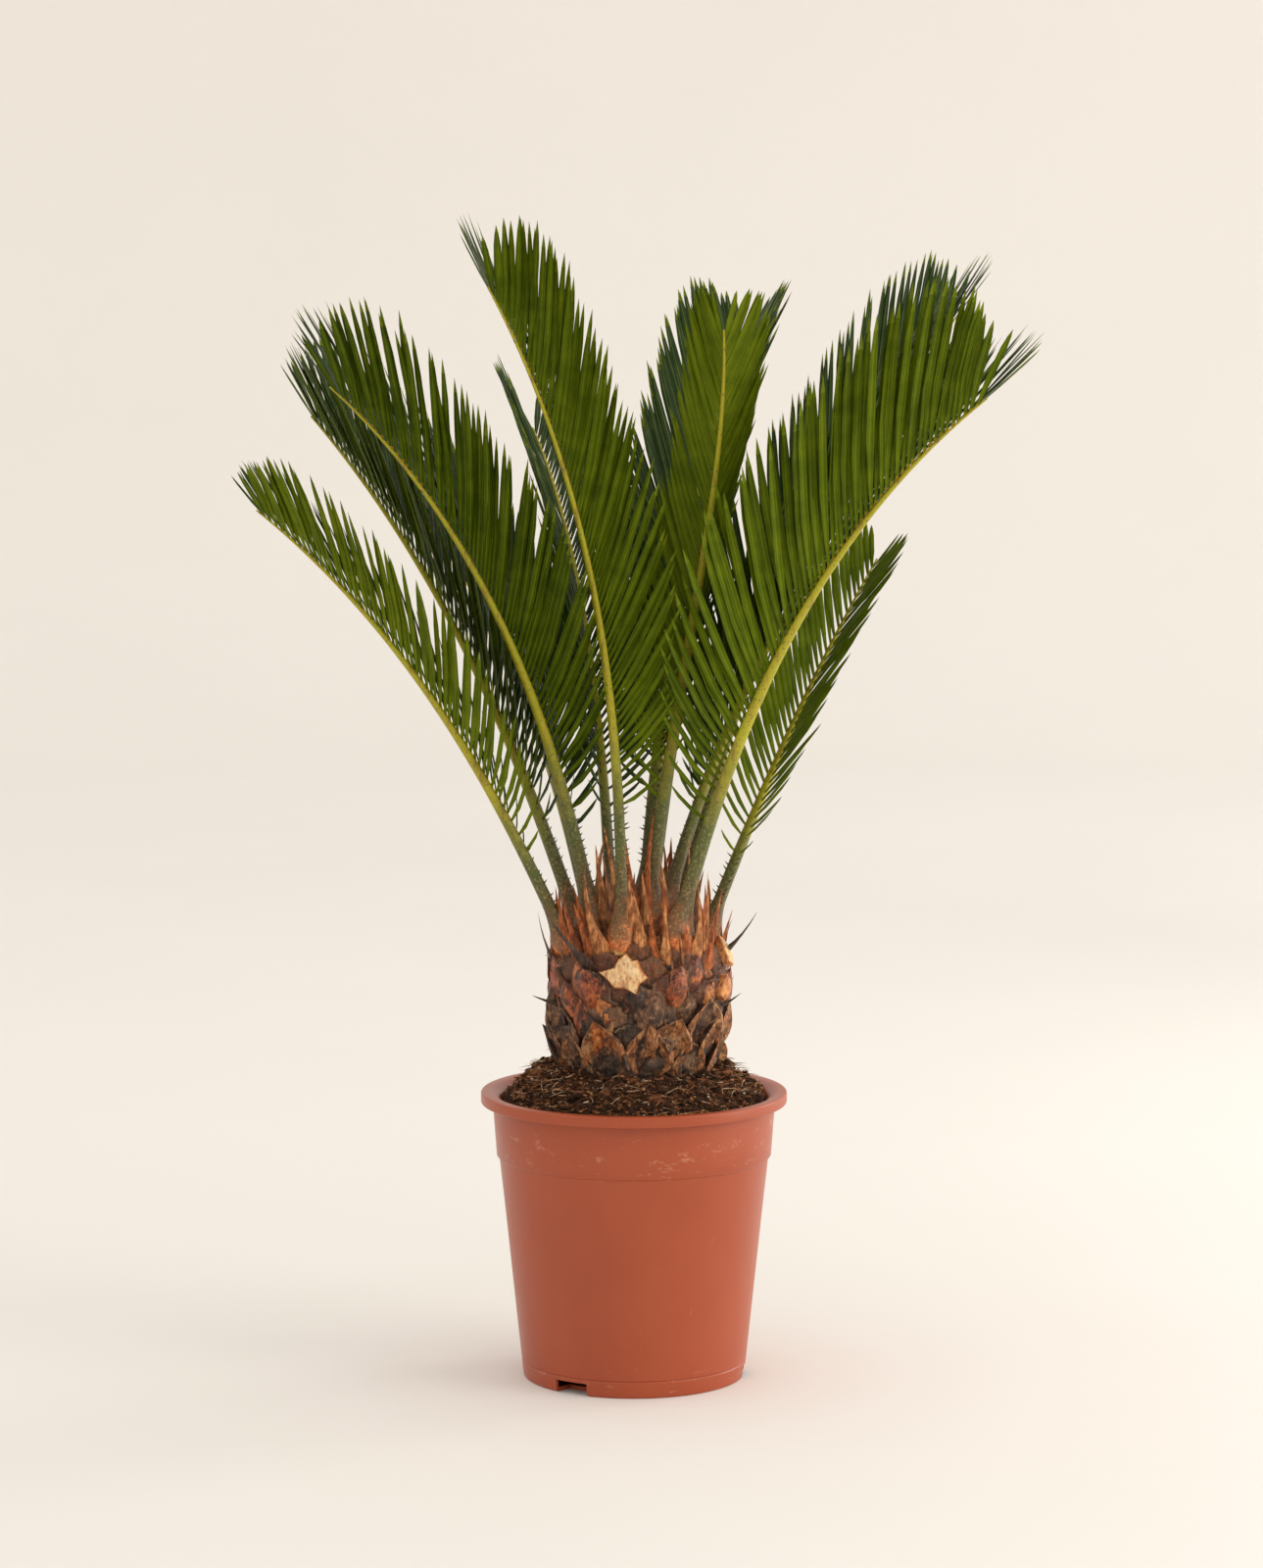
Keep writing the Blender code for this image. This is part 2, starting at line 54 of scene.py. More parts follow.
GOLDEN_ANGLE = math.radians(137.508)
MERGE_DISTANCE = 0.00001
WARM_WHITE = (255, 250, 243)
Rgb = tuple[float, float, float]
Place = tuple[float, float, float]
Pair = tuple[float, float]
Socket = bpy.types.NodeSocket
Material = bpy.types.Material
Piece = bpy.types.Object
Faces = list[tuple[int, ...]]


def paint(colour: Rgb, share: float = 1.0) -> tuple[float, float, float, float]:
    """Turns a screen colour into the linear one that a shader wants.

    Args:
        colour: red, green and blue from 0 to 255 as seen on a screen.
        share: how bright the result is against the colour itself.

    Returns:
        Linear red, green, blue and an alpha of one.
    """
    values = [channel / 255.0 for channel in colour]
    linear = [v / 12.92 if v <= 0.04045 else ((v + 0.055) / 1.055) ** 2.4 for v in values]
    return (linear[0] * share, linear[1] * share, linear[2] * share, 1.0)


def pick(luck: random.Random, low: float, high: float) -> float:
    """Returns an even random number between two ends."""
    return luck.uniform(low, high)


def compass(turn: float) -> tuple[Vector, Vector]:
    """Returns the level directions outwards and along the ring at a heading in radians."""
    away = Vector((math.cos(turn), math.sin(turn), 0.0))
    return away, Vector((-away.y, away.x, 0.0))


class Surface:
    """A Principled material while its nodes are put together."""

    def __init__(self, name: str, roughness: float, specular: float = 0.5) -> None:
        """Starts the material.

        Args:
            name: the material's name.
            roughness: the shader's roughness.
            specular: the shader's specular level.
        """
        self.material = bpy.data.materials.new(name)
        self.material.use_nodes = True
        self.nodes = self.material.node_tree.nodes
        self.links = self.material.node_tree.links
        self.shader = self.nodes["Principled BSDF"]
        self.shader.inputs["Roughness"].default_value = roughness
        self.shader.inputs["Specular IOR Level"].default_value = specular
        self.place = self.nodes.new("ShaderNodeTexCoord").outputs["Object"]

    def grain(self, scale: float, detail: float = 3.0, rough: float = 0.55, tall: float = 1.0) -> Socket:
        """Adds soft noise.

        Args:
            scale: how many grains go in a metre.
            detail: how many finer layers it has.
            rough: how strong the finer layers are.
            tall: how densely the grains lie upwards against sideways.

        Returns:
            The noise's value.
        """
        place = self.place
        if tall != 1.0:
            mapping = self.nodes.new("ShaderNodeMapping")
            mapping.inputs["Scale"].default_value = (1.0, 1.0, tall)
            self.links.new(place, mapping.inputs["Vector"])
            place = mapping.outputs["Vector"]
        node = self.nodes.new("ShaderNodeTexNoise")
        for name, value in (("Scale", scale), ("Detail", detail), ("Roughness", rough)):
            node.inputs[name].default_value = value
        self.links.new(place, node.inputs["Vector"])
        return node.outputs["Fac"]

    def attribute(self, name: str, kind: str = "Fac") -> Socket:
        """Reads one of the mesh's own attributes.

        Args:
            name: the attribute's name.
            kind: the name of the socket that it is read from.

        Returns:
            The attribute's value.
        """
        node = self.nodes.new("ShaderNodeAttribute")
        node.attribute_name = name
        return node.outputs[kind]

    def height(self) -> Socket:
        """Reads how high the point being shaded is.

        Returns:
            Its height above the floor.
        """
        node = self.nodes.new("ShaderNodeSeparateXYZ")
        self.links.new(self.place, node.inputs["Vector"])
        return node.outputs["Z"]

    def ranged(self, value: Socket, span: Pair, to: Pair = (0.0, 1.0)) -> Socket:
        """Stretches a value from one span to another.

        Args:
            value: the socket to read.
            span: the values that become the ends.
            to: the ends of the result.

        Returns:
            The stretched and clamped value.
        """
        node = self.nodes.new("ShaderNodeMapRange")
        for name, end in zip(("From Min", "From Max", "To Min", "To Max"), span + to):
            node.inputs[name].default_value = end
        self.links.new(value, node.inputs["Value"])
        return node.outputs["Result"]

    def worked(self, first: Socket, second: Socket, kind: str = "ADD") -> Socket:
        """Joins two values by a plain operation.

        Args:
            first: one value.
            second: the other value.
            kind: the operation, a sum to begin with.

        Returns:
            The result.
        """
        node = self.nodes.new("ShaderNodeMath")
        node.operation = kind
        self.links.new(first, node.inputs[0])
        self.links.new(second, node.inputs[1])
        return node.outputs[0]

    def mixed(self, share: Socket, under: Socket | tuple, over: Socket | tuple) -> Socket:
        """Mixes two colours, each of them a socket, a screen colour or a linear colour with alpha.

        Args:
            share: the socket that says how much of the second shows.
            under: the first colour.
            over: the second colour.

        Returns:
            The mixed colour.
        """
        node = self.nodes.new("ShaderNodeMix")
        node.data_type = "RGBA"
        self.links.new(share, node.inputs[0])
        for place, colour in ((6, under), (7, over)):
            if isinstance(colour, tuple):
                node.inputs[place].default_value = colour if len(colour) == 4 else paint(colour)
            else:
                self.links.new(colour, node.inputs[place])
        return node.outputs[2]

    def laid(
        self, under: Socket | tuple, over: Socket | tuple, value: Socket, span: Pair, most: float = 1.0
    ) -> Socket:
        """Lays one colour over another by a value.

        Args:
            under: the colour that shows where the value starts its span.
            over: the colour that is laid on towards the span's end.
            value: the socket to read.
            span: the values between which the second colour comes in.
            most: how much of it shows at the end of the span.

        Returns:
            The mixed colour.
        """
        return self.mixed(self.ranged(value, span, (0.0, most)), under, over)

    def coloured(self, colour: Socket) -> None:
        """Sends a colour to the shader."""
        self.links.new(colour, self.shader.inputs["Base Color"])

    def worn(self, value: Socket, span: Pair) -> None:
        """Sends a value, spread over a span, to the shader's roughness."""
        self.links.new(self.ranged(value, (0.3, 0.7), span), self.shader.inputs["Roughness"])

    def raised(self, height: Socket, depth: float, strength: float = 1.0) -> None:
        """Adds a bump, on top of one that is there already.

        Args:
            height: the socket that gives the relief.
            depth: the relief's depth in metres.
            strength: how much of it shows.
        """
        node = self.nodes.new("ShaderNodeBump")
        node.inputs["Distance"].default_value = depth
        node.inputs["Strength"].default_value = strength
        self.links.new(height, node.inputs["Height"])
        normal = self.shader.inputs["Normal"]
        if normal.is_linked:
            self.links.new(normal.links[0].from_socket, node.inputs["Normal"])
        self.links.new(node.outputs["Normal"], normal)


@dataclass(frozen=True)
class LeafSkin:
    """The skin of one side of a leaflet: a waxy green that varies a little."""

    name: str
    deep: Rgb
    light: Rgb
    roughness: float = 0.42
    specular: float = 0.25

    def make(self) -> Material:
        """Makes the material.

        Returns:
            The skin's material.
        """
        surface = Surface(self.name, self.roughness, self.specular)
        surface.coloured(surface.laid(self.deep, self.light, surface.grain(70.0), (0.35, 0.65)))
        surface.worn(surface.grain(320.0, 2.0), (self.roughness - 0.07, self.roughness + 0.09))
        surface.raised(surface.grain(900.0, 2.0), 0.00015, 0.5)
        return surface.material


@dataclass(frozen=True)
class StalkSkin:
    """A frond's rib and stalk: yellow green in the blade, dull green lower down and rusty at its foot."""

    name: str
    blade: Rgb = (162, 160, 12)
    gold: Rgb = (178, 150, 24)
    stalk: Rgb = (78, 88, 26)
    shade: Rgb = (92, 74, 36)
    foot: Rgb = (92, 68, 34)
    felt: Rgb = (142, 84, 40)
    rust: tuple[Rgb, Rgb] = ((164, 70, 24), (232, 134, 58))
    disc: Rgb = (236, 186, 112)
    pale: Rgb = (172, 152, 98)
    dark: Rgb = (44, 34, 18)

    def make(self) -> Material:
        """Makes the material from the mesh's own share of the way up.

        Returns:
            The stalk's material.
        """
        surface = Surface(self.name, 0.45)
        way = surface.attribute("way_up")
        flecks = surface.grain(650.0)
        streaks = surface.grain(240.0, 3.0, 0.6, 0.18)
        uneven = surface.worked(way, surface.ranged(surface.grain(140.0), (0.3, 0.7), (-0.03, 0.03)))
        ended = surface.worked(way, surface.ranged(surface.grain(300.0), (0.3, 0.7), (-0.003, 0.003)))
        lively = surface.laid(self.blade, self.gold, streaks, (0.38, 0.66), 0.6)
        green = surface.laid(self.stalk, lively, uneven, (0.16, 0.32))
        shaded = surface.laid(green, self.shade, streaks, (0.55, 0.7), 0.55)
        brown = surface.laid(self.foot, shaded, uneven, (0.03, 0.15))
        felted = surface.laid(self.felt, brown, uneven, (-0.005, 0.05))
        rusty = surface.laid(*self.rust, flecks, (0.40, 0.60))
        seated = surface.laid(rusty, felted, uneven, (-0.026, -0.002))
        tone = surface.laid(self.disc, seated, ended, (-0.030, -0.026))
        low = surface.ranged(way, (0.30, 0.16))
        specked = surface.worked(surface.ranged(flecks, (0.53, 0.66), (0.0, 0.5)), low, "MULTIPLY")
        tone = surface.mixed(specked, tone, self.pale)
        surface.coloured(surface.laid(tone, self.dark, flecks, (0.42, 0.32), 0.6))
        surface.worn(flecks, (0.38, 0.62))
        surface.raised(flecks, 0.0004, 0.6)
        return surface.material


@dataclass(frozen=True)
class BarkSkin:
    """Scaly bark, whose main colours are in the mesh, under fine fibres and specks."""

    name: str
    fibre: float = 520.0
    roughness: float = 0.72
    dusk: Rgb = (38, 24, 18)
    dust: Rgb = (196, 164, 128)

    def make(self) -> Material:
        """Makes the material.

        Returns:
            The bark's material.
        """
        surface = Surface(self.name, self.roughness, 0.4)
        fibres = surface.grain(self.fibre, 4.0, 0.65, 0.16)
        specks = surface.grain(1500.0)
        shaded = surface.laid(surface.attribute("bark", "Color"), self.dusk, fibres, (0.58, 0.36), 0.6)
        surface.coloured(surface.laid(shaded, self.dust, specks, (0.58, 0.74), 0.55))
        surface.worn(fibres, (self.roughness - 0.18, self.roughness + 0.1))
        surface.raised(fibres, 0.0011, 0.8)
        surface.raised(specks, 0.0005, 0.6)
        return surface.material


@dataclass(frozen=True)
class DryLeaf:
    """A dry brown scale leaf, thorn, thread or flake, with streaks and a dull face."""

    name: str
    deep: Rgb
    light: Rgb
    streak: float = 500.0
    roughness: float = 0.68

    def make(self) -> Material:
        """Makes the material.

        Returns:
            The dry leaf's material.
        """
        surface = Surface(self.name, self.roughness, 0.3)
        streaks = surface.grain(self.streak, 3.0, 0.6, 0.2)
        lined = surface.laid(self.deep, self.light, streaks, (0.36, 0.64))
        blotches = surface.grain(130.0, 4.0, 0.6)
        surface.coloured(surface.laid(lined, paint(self.deep, 0.6), blotches, (0.58, 0.38), 0.75))
        surface.raised(streaks, 0.0006, 0.8)
        return surface.material


@dataclass(frozen=True)
class BaseSkin:
    """The skin of an old leaf base: blotched, finely fibred and here and there glossy."""

    name: str
    deep: Rgb
    middle: Rgb
    light: Rgb
    roughness: float = 0.6

    def make(self) -> Material:
        """Makes the material.

        Returns:
            The leaf base's material.
        """
        surface = Surface(self.name, self.roughness, 0.45)
        fibres = surface.grain(560.0, 4.0, 0.65, 0.4)
        specks = surface.grain(1700.0)
        patches = surface.grain(95.0, 5.0, 0.6)
        tone = surface.laid(self.deep, self.middle, surface.grain(170.0, 5.0, 0.65), (0.42, 0.58))
        patched = surface.laid(tone, paint(self.light, 0.84), patches, (0.53, 0.66), 0.6)
        lit = surface.laid(patched, self.light, fibres, (0.54, 0.70), 0.6)
        shaded = surface.laid(lit, paint(self.deep, 0.4), fibres, (0.48, 0.34), 0.8)
        surface.coloured(surface.laid(shaded, self.light, specks, (0.60, 0.72), 0.5))
        surface.worn(fibres, (self.roughness - 0.15, self.roughness + 0.15))
        surface.raised(fibres, 0.0012, 0.9)
        surface.raised(specks, 0.0005, 0.6)
        return surface.material


@dataclass(frozen=True)
class CompostSkin:
    """Damp compost: nearly black crumbs with brown fibre and pale specks."""

    name: str
    deep: Rgb = (22, 12, 6)
    middle: Rgb = (80, 50, 29)
    pale: Rgb = (164, 120, 80)

    def make(self) -> Material:
        """Makes the material.

        Returns:
            The compost's material.
        """
        surface = Surface(self.name, 0.9, 0.25)
        crumbs = surface.grain(420.0, 5.0, 0.7)
        brown = surface.laid(self.deep, self.middle, crumbs, (0.36, 0.62))
        surface.coloured(surface.laid(brown, self.pale, surface.grain(1100.0, 2.0), (0.64, 0.74), 0.8))
        surface.raised(crumbs, 0.003)
        return surface.material


@dataclass(frozen=True)
class PotSkin:
    """Satin terracotta coloured plastic with a dusty bloom and pale scuffs on its collar and by its foot."""

    name: str
    body: Rgb = (162, 70, 35)
    warm: Rgb = (168, 75, 39)
    dust: Rgb = (214, 160, 132)
    collar: Pair = (0.139, 0.168)

    def make(self) -> Material:
        """Makes the material.

        Returns:
            The plastic's material.
        """
        surface = Surface(self.name, 0.4)
        cloud = surface.grain(14.0)
        plastic = surface.laid(self.body, self.warm, cloud, (0.35, 0.65))
        height = surface.height()
        low, high = self.collar
        above = surface.ranged(height, (low - 0.004, low + 0.004))
        below = surface.ranged(height, (high, high - 0.006))
        by_foot = surface.ranged(height, (0.022, 0.004), (0.0, 0.8))
        where = surface.worked(surface.worked(above, below, "MULTIPLY"), by_foot)
        scuffs = surface.ranged(surface.grain(75.0, 8.0, 0.75, 2.2), (0.57, 0.68))
        shown = surface.worked(where, scuffs, "MULTIPLY")
        rubbed = surface.laid(plastic, self.dust, shown, (0.0, 1.0), 0.55)
        scratches = surface.grain(210.0, 5.0, 0.8, 0.12)
        surface.coloured(surface.laid(rubbed, self.dust, scratches, (0.64, 0.76), 0.22))
        surface.worn(cloud, (0.31, 0.42))
        surface.raised(surface.grain(1400.0, 2.0), 0.00008, 0.35)
        return surface.material


@dataclass(frozen=True)
class StudioPaper:
    """Matt cream studio paper with the faintest mottling."""

    name: str
    tone: Rgb = (238, 235, 231)

    def make(self) -> Material:
        """Makes the material.

        Returns:
            The paper's material.
        """
        surface = Surface(self.name, 0.95, 0.1)
        surface.coloured(surface.laid(self.tone, paint(self.tone, 1.015), surface.grain(3.0), (0.3, 0.7)))
        return surface.material


def skins_of(kind: type, *rows: tuple) -> list[Material]:
    """Returns the materials of one kind of skin, one for each row of its values."""
    return [kind(*row).make() for row in rows]


def turned(outline: list[Pair], steps: int, start: float = 0.0) -> bmesh.types.BMesh:
    """Turns an outline round the upright axis into a closed shell.

    Args:
        outline: the radius and height of each of its points.
        steps: how many columns of faces the shell has.
        start: the heading of its first column, in radians.

    Returns:
        The shell.
    """
    shape = bmesh.new()
    ring = [shape.verts.new((radius, 0.0, height)) for radius, height in outline]
    edges = [shape.edges.new(pair) for pair in zip(ring, ring[1:])]
    middle = (0.0, 0.0, 0.0)
    bmesh.ops.rotate(shape, verts=ring, cent=middle, matrix=Matrix.Rotation(start, 3, "Z"))
    bmesh.ops.spin(
        shape,
        geom=ring + edges,
        cent=middle,
        axis=(0.0, 0.0, 1.0),
        dvec=middle,
        angle=math.tau,
        steps=steps,
        use_merge=True,
        use_duplicate=False,
    )
    bmesh.ops.remove_doubles(shape, verts=shape.verts, dist=MERGE_DISTANCE)
    bmesh.ops.recalc_face_normals(shape, faces=shape.faces)
    return shape


def dressed(name: str, mesh: bpy.types.Mesh, finishes: list[Material], sharp: float) -> Piece:
    """Links a mesh to the scene as a finished piece with smooth faces and sharp creases.

    Args:
        name: the piece's name.
        mesh: its mesh.
        finishes: the materials, in the order of their slots.
        sharp: the angle in degrees past which an edge stays sharp.

    Returns:
        The new piece.
    """
    for finish in finishes:
        mesh.materials.append(finish)
    mesh.shade_smooth()
    mesh.set_sharp_from_angle(angle=math.radians(sharp))
    piece = bpy.data.objects.new(name, mesh)
    bpy.context.scene.collection.objects.link(piece)
    return piece


def solid_of(name: str, shape: bmesh.types.BMesh, finishes: list[Material], sharp: float) -> Piece:
    """Turns a bmesh into a finished piece.

    Args:
        name: the piece's name.
        shape: the bmesh, which is freed.
        finishes: the materials, in the order of their slots.
        sharp: the angle in degrees past which an edge stays sharp.

    Returns:
        The new piece.
    """
    mesh = bpy.data.meshes.new(name)
    shape.to_mesh(mesh)
    shape.free()
    return dressed(name, mesh, finishes, sharp)


def settle(piece: Piece, slot: str, *nodes: str) -> None:
    """Lets a piece ride on the plant and hides the CAD nodes that it stands for.

    Args:
        piece: the finished piece.
        slot: not used.
        nodes: the CAD nodes that the piece replaces.
    """
    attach(piece, "root")
    if nodes:
        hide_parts(*nodes)
    LOG.info("%s: %d faces", piece.name, len(piece.data.polygons))


@dataclass
class Bunch:
    """Many small things gathered as arrays into one joined mesh."""

    points: list[np.ndarray] = field(default_factory=list)
    faces: Faces = field(default_factory=list)
    slots: list[int] = field(default_factory=list)
    count: int = 0

    def add(self, points: np.ndarray, faces: Faces, slots: list[int]) -> None:
        """Adds one thing.

        Args:
            points: its points, one row each.
            faces: its faces as rows of point numbers.
            slots: each face's material slot.
        """
        start = self.count
        self.points.append(points)
        self.faces.extend(tuple(start + corner for corner in face) for face in faces)
        self.slots.extend(slots)
        self.count += len(points)

    def finish(self, name: str, finishes: list[Material], sharp: float) -> Piece:
        """Joins all that was added.

        Args:
            name: the piece's name.
            finishes: the materials, in the order of their slots.
            sharp: the angle in degrees past which an edge stays sharp.

        Returns:
            The joined piece.
        """
        mesh = bpy.data.meshes.new(name)
        mesh.from_pydata(np.concatenate(self.points).tolist(), [], self.faces)
        mesh.polygons.foreach_set("material_index", self.slots)
        return dressed(name, mesh, finishes, sharp)


@dataclass(frozen=True)
class BladeShape:
    """A long pointed blade: its width and section along its length.

    The section goes round from one edge over the upper face to the other edge and back under, in half widths.
    Each side of the section has a kind, and a blade's own deal gives each kind its material slot.
    """

    stations: tuple[float, ...]
    widths: tuple[float, ...]
    section: tuple[Pair, ...]
    sides: tuple[int, ...]
    foot_kind: int | None = None
    tip_kind: int | None = None

    def grow(
        self,
        root: Vector,
        along: Vector,
        up: Vector,
        length: float,
        half: float,
        bend: Vector,
        twist: float,
        deal: tuple[int, ...],
    ) -> tuple[np.ndarray, Faces, list[int]]:
        """Makes one blade.

        Args:
            root: the middle of its foot.
            along: the direction that it sets out in.
            up: roughly the direction of its upper face.
            length: its length in metres.
            half: half its greatest width in metres.
            bend: how far its tip is carried off its first direction, in metres.
            twist: how far it turns round its own length by the tip, in radians.
            deal: the material slot that each kind of side takes on this blade.

        Returns:
            Its points, its faces and each face's slot.
        """
        stations = np.array(self.stations)
        line = np.outer(stations * length, along) + np.outer(stations**2, bend) + np.array(root)
        heading = np.tile(np.array(along) * length, (len(stations), 1)) + np.outer(2.0 * stations, bend)
        heading /= np.linalg.norm(heading, axis=1)[:, None]
        across = np.cross(heading, np.array(up))
        across /= np.linalg.norm(across, axis=1)[:, None]
        over = np.cross(across, heading)
        turn = (twist * stations)[:, None]
        wide = np.cos(turn) * across + np.sin(turn) * over
        high = np.cos(turn) * over - np.sin(turn) * across
        places, rises = np.array(self.section).T[:, :, None]
        sizes = (half * np.array(self.widths))[:, None, None]
        rings = line[:, None] + wide[:, None] * places * sizes + high[:, None] * rises * sizes
        tip = np.array(root) + np.array(along) * length + np.array(bend)
        faces, slots = self.faces(deal)
        return np.vstack([rings.reshape(-1, 3), tip]), faces, slots

    def faces(self, deal: tuple[int, ...]) -> tuple[Faces, list[int]]:
        """Lists the faces of one blade.

        Args:
            deal: the material slot that each kind of side takes.

        Returns:
            The faces as rows of point numbers, and each face's slot.
        """
        around = len(self.section)
        last = (len(self.stations) - 1) * around
        faces = [tuple(reversed(range(around)))]
        slots = [deal[self.sides[0]]]
        for low in range(0, last, around):
            for side, kind in enumerate(self.sides):
                following = low + (side + 1) % around
                faces.append((low + side, following, following + around, low + side + around))
                slots.append(deal[kind if low or self.foot_kind is None else self.foot_kind])
        for side, kind in enumerate(self.sides):
            faces.append((last + side, last + (side + 1) % around, last + around))
            slots.append(deal[kind if self.tip_kind is None else self.tip_kind])
        return faces, slots


class Under(Enum):
    """The green of a frond's lower face; LIT and PALE are partly painted light, lighter copies that stand in
    for light on fronds which face away from the lamps.
    """

    BRIGHT = "bright"
    OLIVE = "olive"
    DEEP = "deep"
    LIT = "lit"
    PALE = "pale"


@dataclass(frozen=True)
class Frond:
    """One frond by measures close to the CAD's, with the tone of its leaflets."""

    number: int
    seat: Pair
    heading: float
    lean: float
    arch: float
    sweep: float
    length: float
    roll: float
    leaflet: float
    spread: float
    stalk: float
    under: Under
    dry: float = 0.05
    fullness: float = 1.0

    @property
    def node(self) -> str:
        """The CAD node's name."""
        return f"frond_{self.number:02d}"


FRONDS = (
    Frond(1, (-0.007, -0.036), 218, 1, 36, 7, 0.412, -5, 0.097, 0.85, 0.0039, Under.BRIGHT),
    Frond(2, (0.026, -0.032), 343, 16, 36, 0, 0.385, -24, 0.116, 1.28, 0.0050, Under.BRIGHT, 0.3),
    Frond(3, (0.019, 0.008), 350, 17, 34, 6, 0.365, 0, 0.106, 1.00, 0.0045, Under.DEEP),
    Frond(4, (0.046, 0.002), 37, 27, 10, 0, 0.262, 22, 0.058, 1.15, 0.0038, Under.LIT, 0.05, 0.66),
    Frond(5, (0.009, -0.015), 358, 7, 20, -93, 0.370, -10, 0.072, 0.86, 0.0050, Under.PALE, 0.05, 0.84),
    Frond(6, (0.007, 0.023), 66, 10, 36, 0, 0.388, 0, 0.095, 1.00, 0.0045, Under.OLIVE),
    Frond(7, (-0.025, -0.012), 205, 13, 36, -3, 0.375, 3, 0.105, 1.10, 0.0047, Under.OLIVE),
    Frond(8, (-0.035, 0.005), 175, 19, 22, 0, 0.355, -5, 0.100, 1.05, 0.0048, Under.BRIGHT),
    Frond(9, (-0.042, -0.014), 196, 25, 26, -6, 0.330, 5, 0.076, 1.15, 0.0045, Under.PALE, 0.05, 0.85),
    Frond(10, (-0.014, 0.018), 111, 8, 45, 0, 0.335, 10, 0.090, 0.95, 0.0036, Under.OLIVE, 0.05, 0.9),
    Frond(11, (-0.026, 0.034), 139, 17, 40, 0, 0.330, 0, 0.090, 1.00, 0.0045, Under.OLIVE),
    Frond(12, (0.026, 0.031), 29, 17, 30, 0, 0.430, 0, 0.100, 1.00, 0.0042, Under.OLIVE, 0.05, 0.9),
)


@dataclass(frozen=True)
class BarkTones:
    """The colours of the bark that shows between the leaf bases, with painted shade over all of it and
    painted shadow along the lower edges of its cells.
    """

    red: Rgb = (134, 76, 52)
    purple: Rgb = (146, 88, 70)
    rust: Rgb = (158, 94, 52)
    grey: Rgb = (104, 84, 70)
    tan: Rgb = (176, 134, 98)
    dark: Rgb = (50, 38, 32)
    painted_shadow: Rgb = (24, 14, 9)

    def dealt(
        self,
        level: np.ndarray,
        left: np.ndarray,
        right: np.ndarray,
        luck: np.ndarray,
        slow: np.ndarray,
        other: np.ndarray,
        rough: np.ndarray,
        fibre: np.ndarray,
    ) -> np.ndarray:
        """Deals a colour to each point of the bark.

        Args:
            level: the height up the trunk and on over its top.
            left: its place across the leaf base one way, from -0.5 to 0.5.
            right: its place across the base the other way.
            luck: six numbers for each base.
            slow: broad unevenness.
            other: broad unevenness of another kind.
            rough: middling unevenness.
            fibre: upright fibres.

        Returns:
            The linear colours with alpha.
        """
        colour = {name: np.array(paint(tone)) for name, tone in asdict(self).items()}

        def laid(under: np.ndarray, over: str, share: np.ndarray) -> np.ndarray:
            """Lays a named colour over another by a share."""
            share = np.clip(share, 0.0, 1.0)[:, None]
            return under * (1.0 - share) + colour[over] * share

        upper = np.where(luck[:, 1:2] < 0.4, colour["red"], colour["purple"])
        upper = np.where(luck[:, 1:2] > 0.75, colour["rust"], upper)
        lower = np.where(luck[:, 2:3] < 0.5, colour["grey"], colour["tan"])
        height = np.clip((level + 0.012 * slow - 0.228) / 0.02, 0.0, 1.0)[:, None]
        tone = lower * (1.0 - height) + upper * height
        blotch = slow * 0.6 + rough + (luck[:, 4] - 0.5) * 0.9
        tone = laid(tone, "dark", (blotch - 0.02) * 2.6 * (1.0 - 0.62 * height[:, 0]))
        tone = laid(tone, "tan", (-blotch - 0.30) * 1.6 * (1.0 - 0.5 * height[:, 0]))
        tone = laid(tone, "rust", (0.35 - np.abs(level - 0.247) / 0.02 + 1.2 * slow + 0.5 * rough) * 0.9)
        tone = laid(tone, "rust", (level - 0.266) / 0.012)
        rim = np.maximum(left, right) + 0.03 * rough
        worn = np.clip((rim - 0.40) / 0.05, 0.0, 1.0) * np.clip(0.3 + 2.6 * other, 0.0, 1.0)
        tone = laid(tone, "tan", 0.8 * worn)
        # Painted shadow: the lower edges of each cell, where the cell below stands proud, and its lowest
        # corner are darkened unevenly to near black as shade.
        painted_shadow = np.clip((-0.38 - np.minimum(left, right) + 0.10 * rough) / 0.12, 0.0, 1.0)
        painted_shadow *= np.clip(0.55 + 2.2 * slow + 0.8 * (luck[:, 5] - 0.5), 0.15, 1.0)
        low = np.clip((-0.30 - left - right) / 0.65, 0.0, 1.0)
        tone = laid(tone, "painted_shadow", 0.95 * np.maximum(painted_shadow, low))
        # Painted shade: the bark is darkened to about half all over, as it lies in the gaps between the leaf
        # bases; the rough and fibre terms only vary it as grain.
        tone = tone * (0.55 * (1.0 + 0.38 * rough + 0.30 * fibre))[:, None]
        tone[:, 3] = 1.0
        return np.clip(tone, 0.0, 1.0)


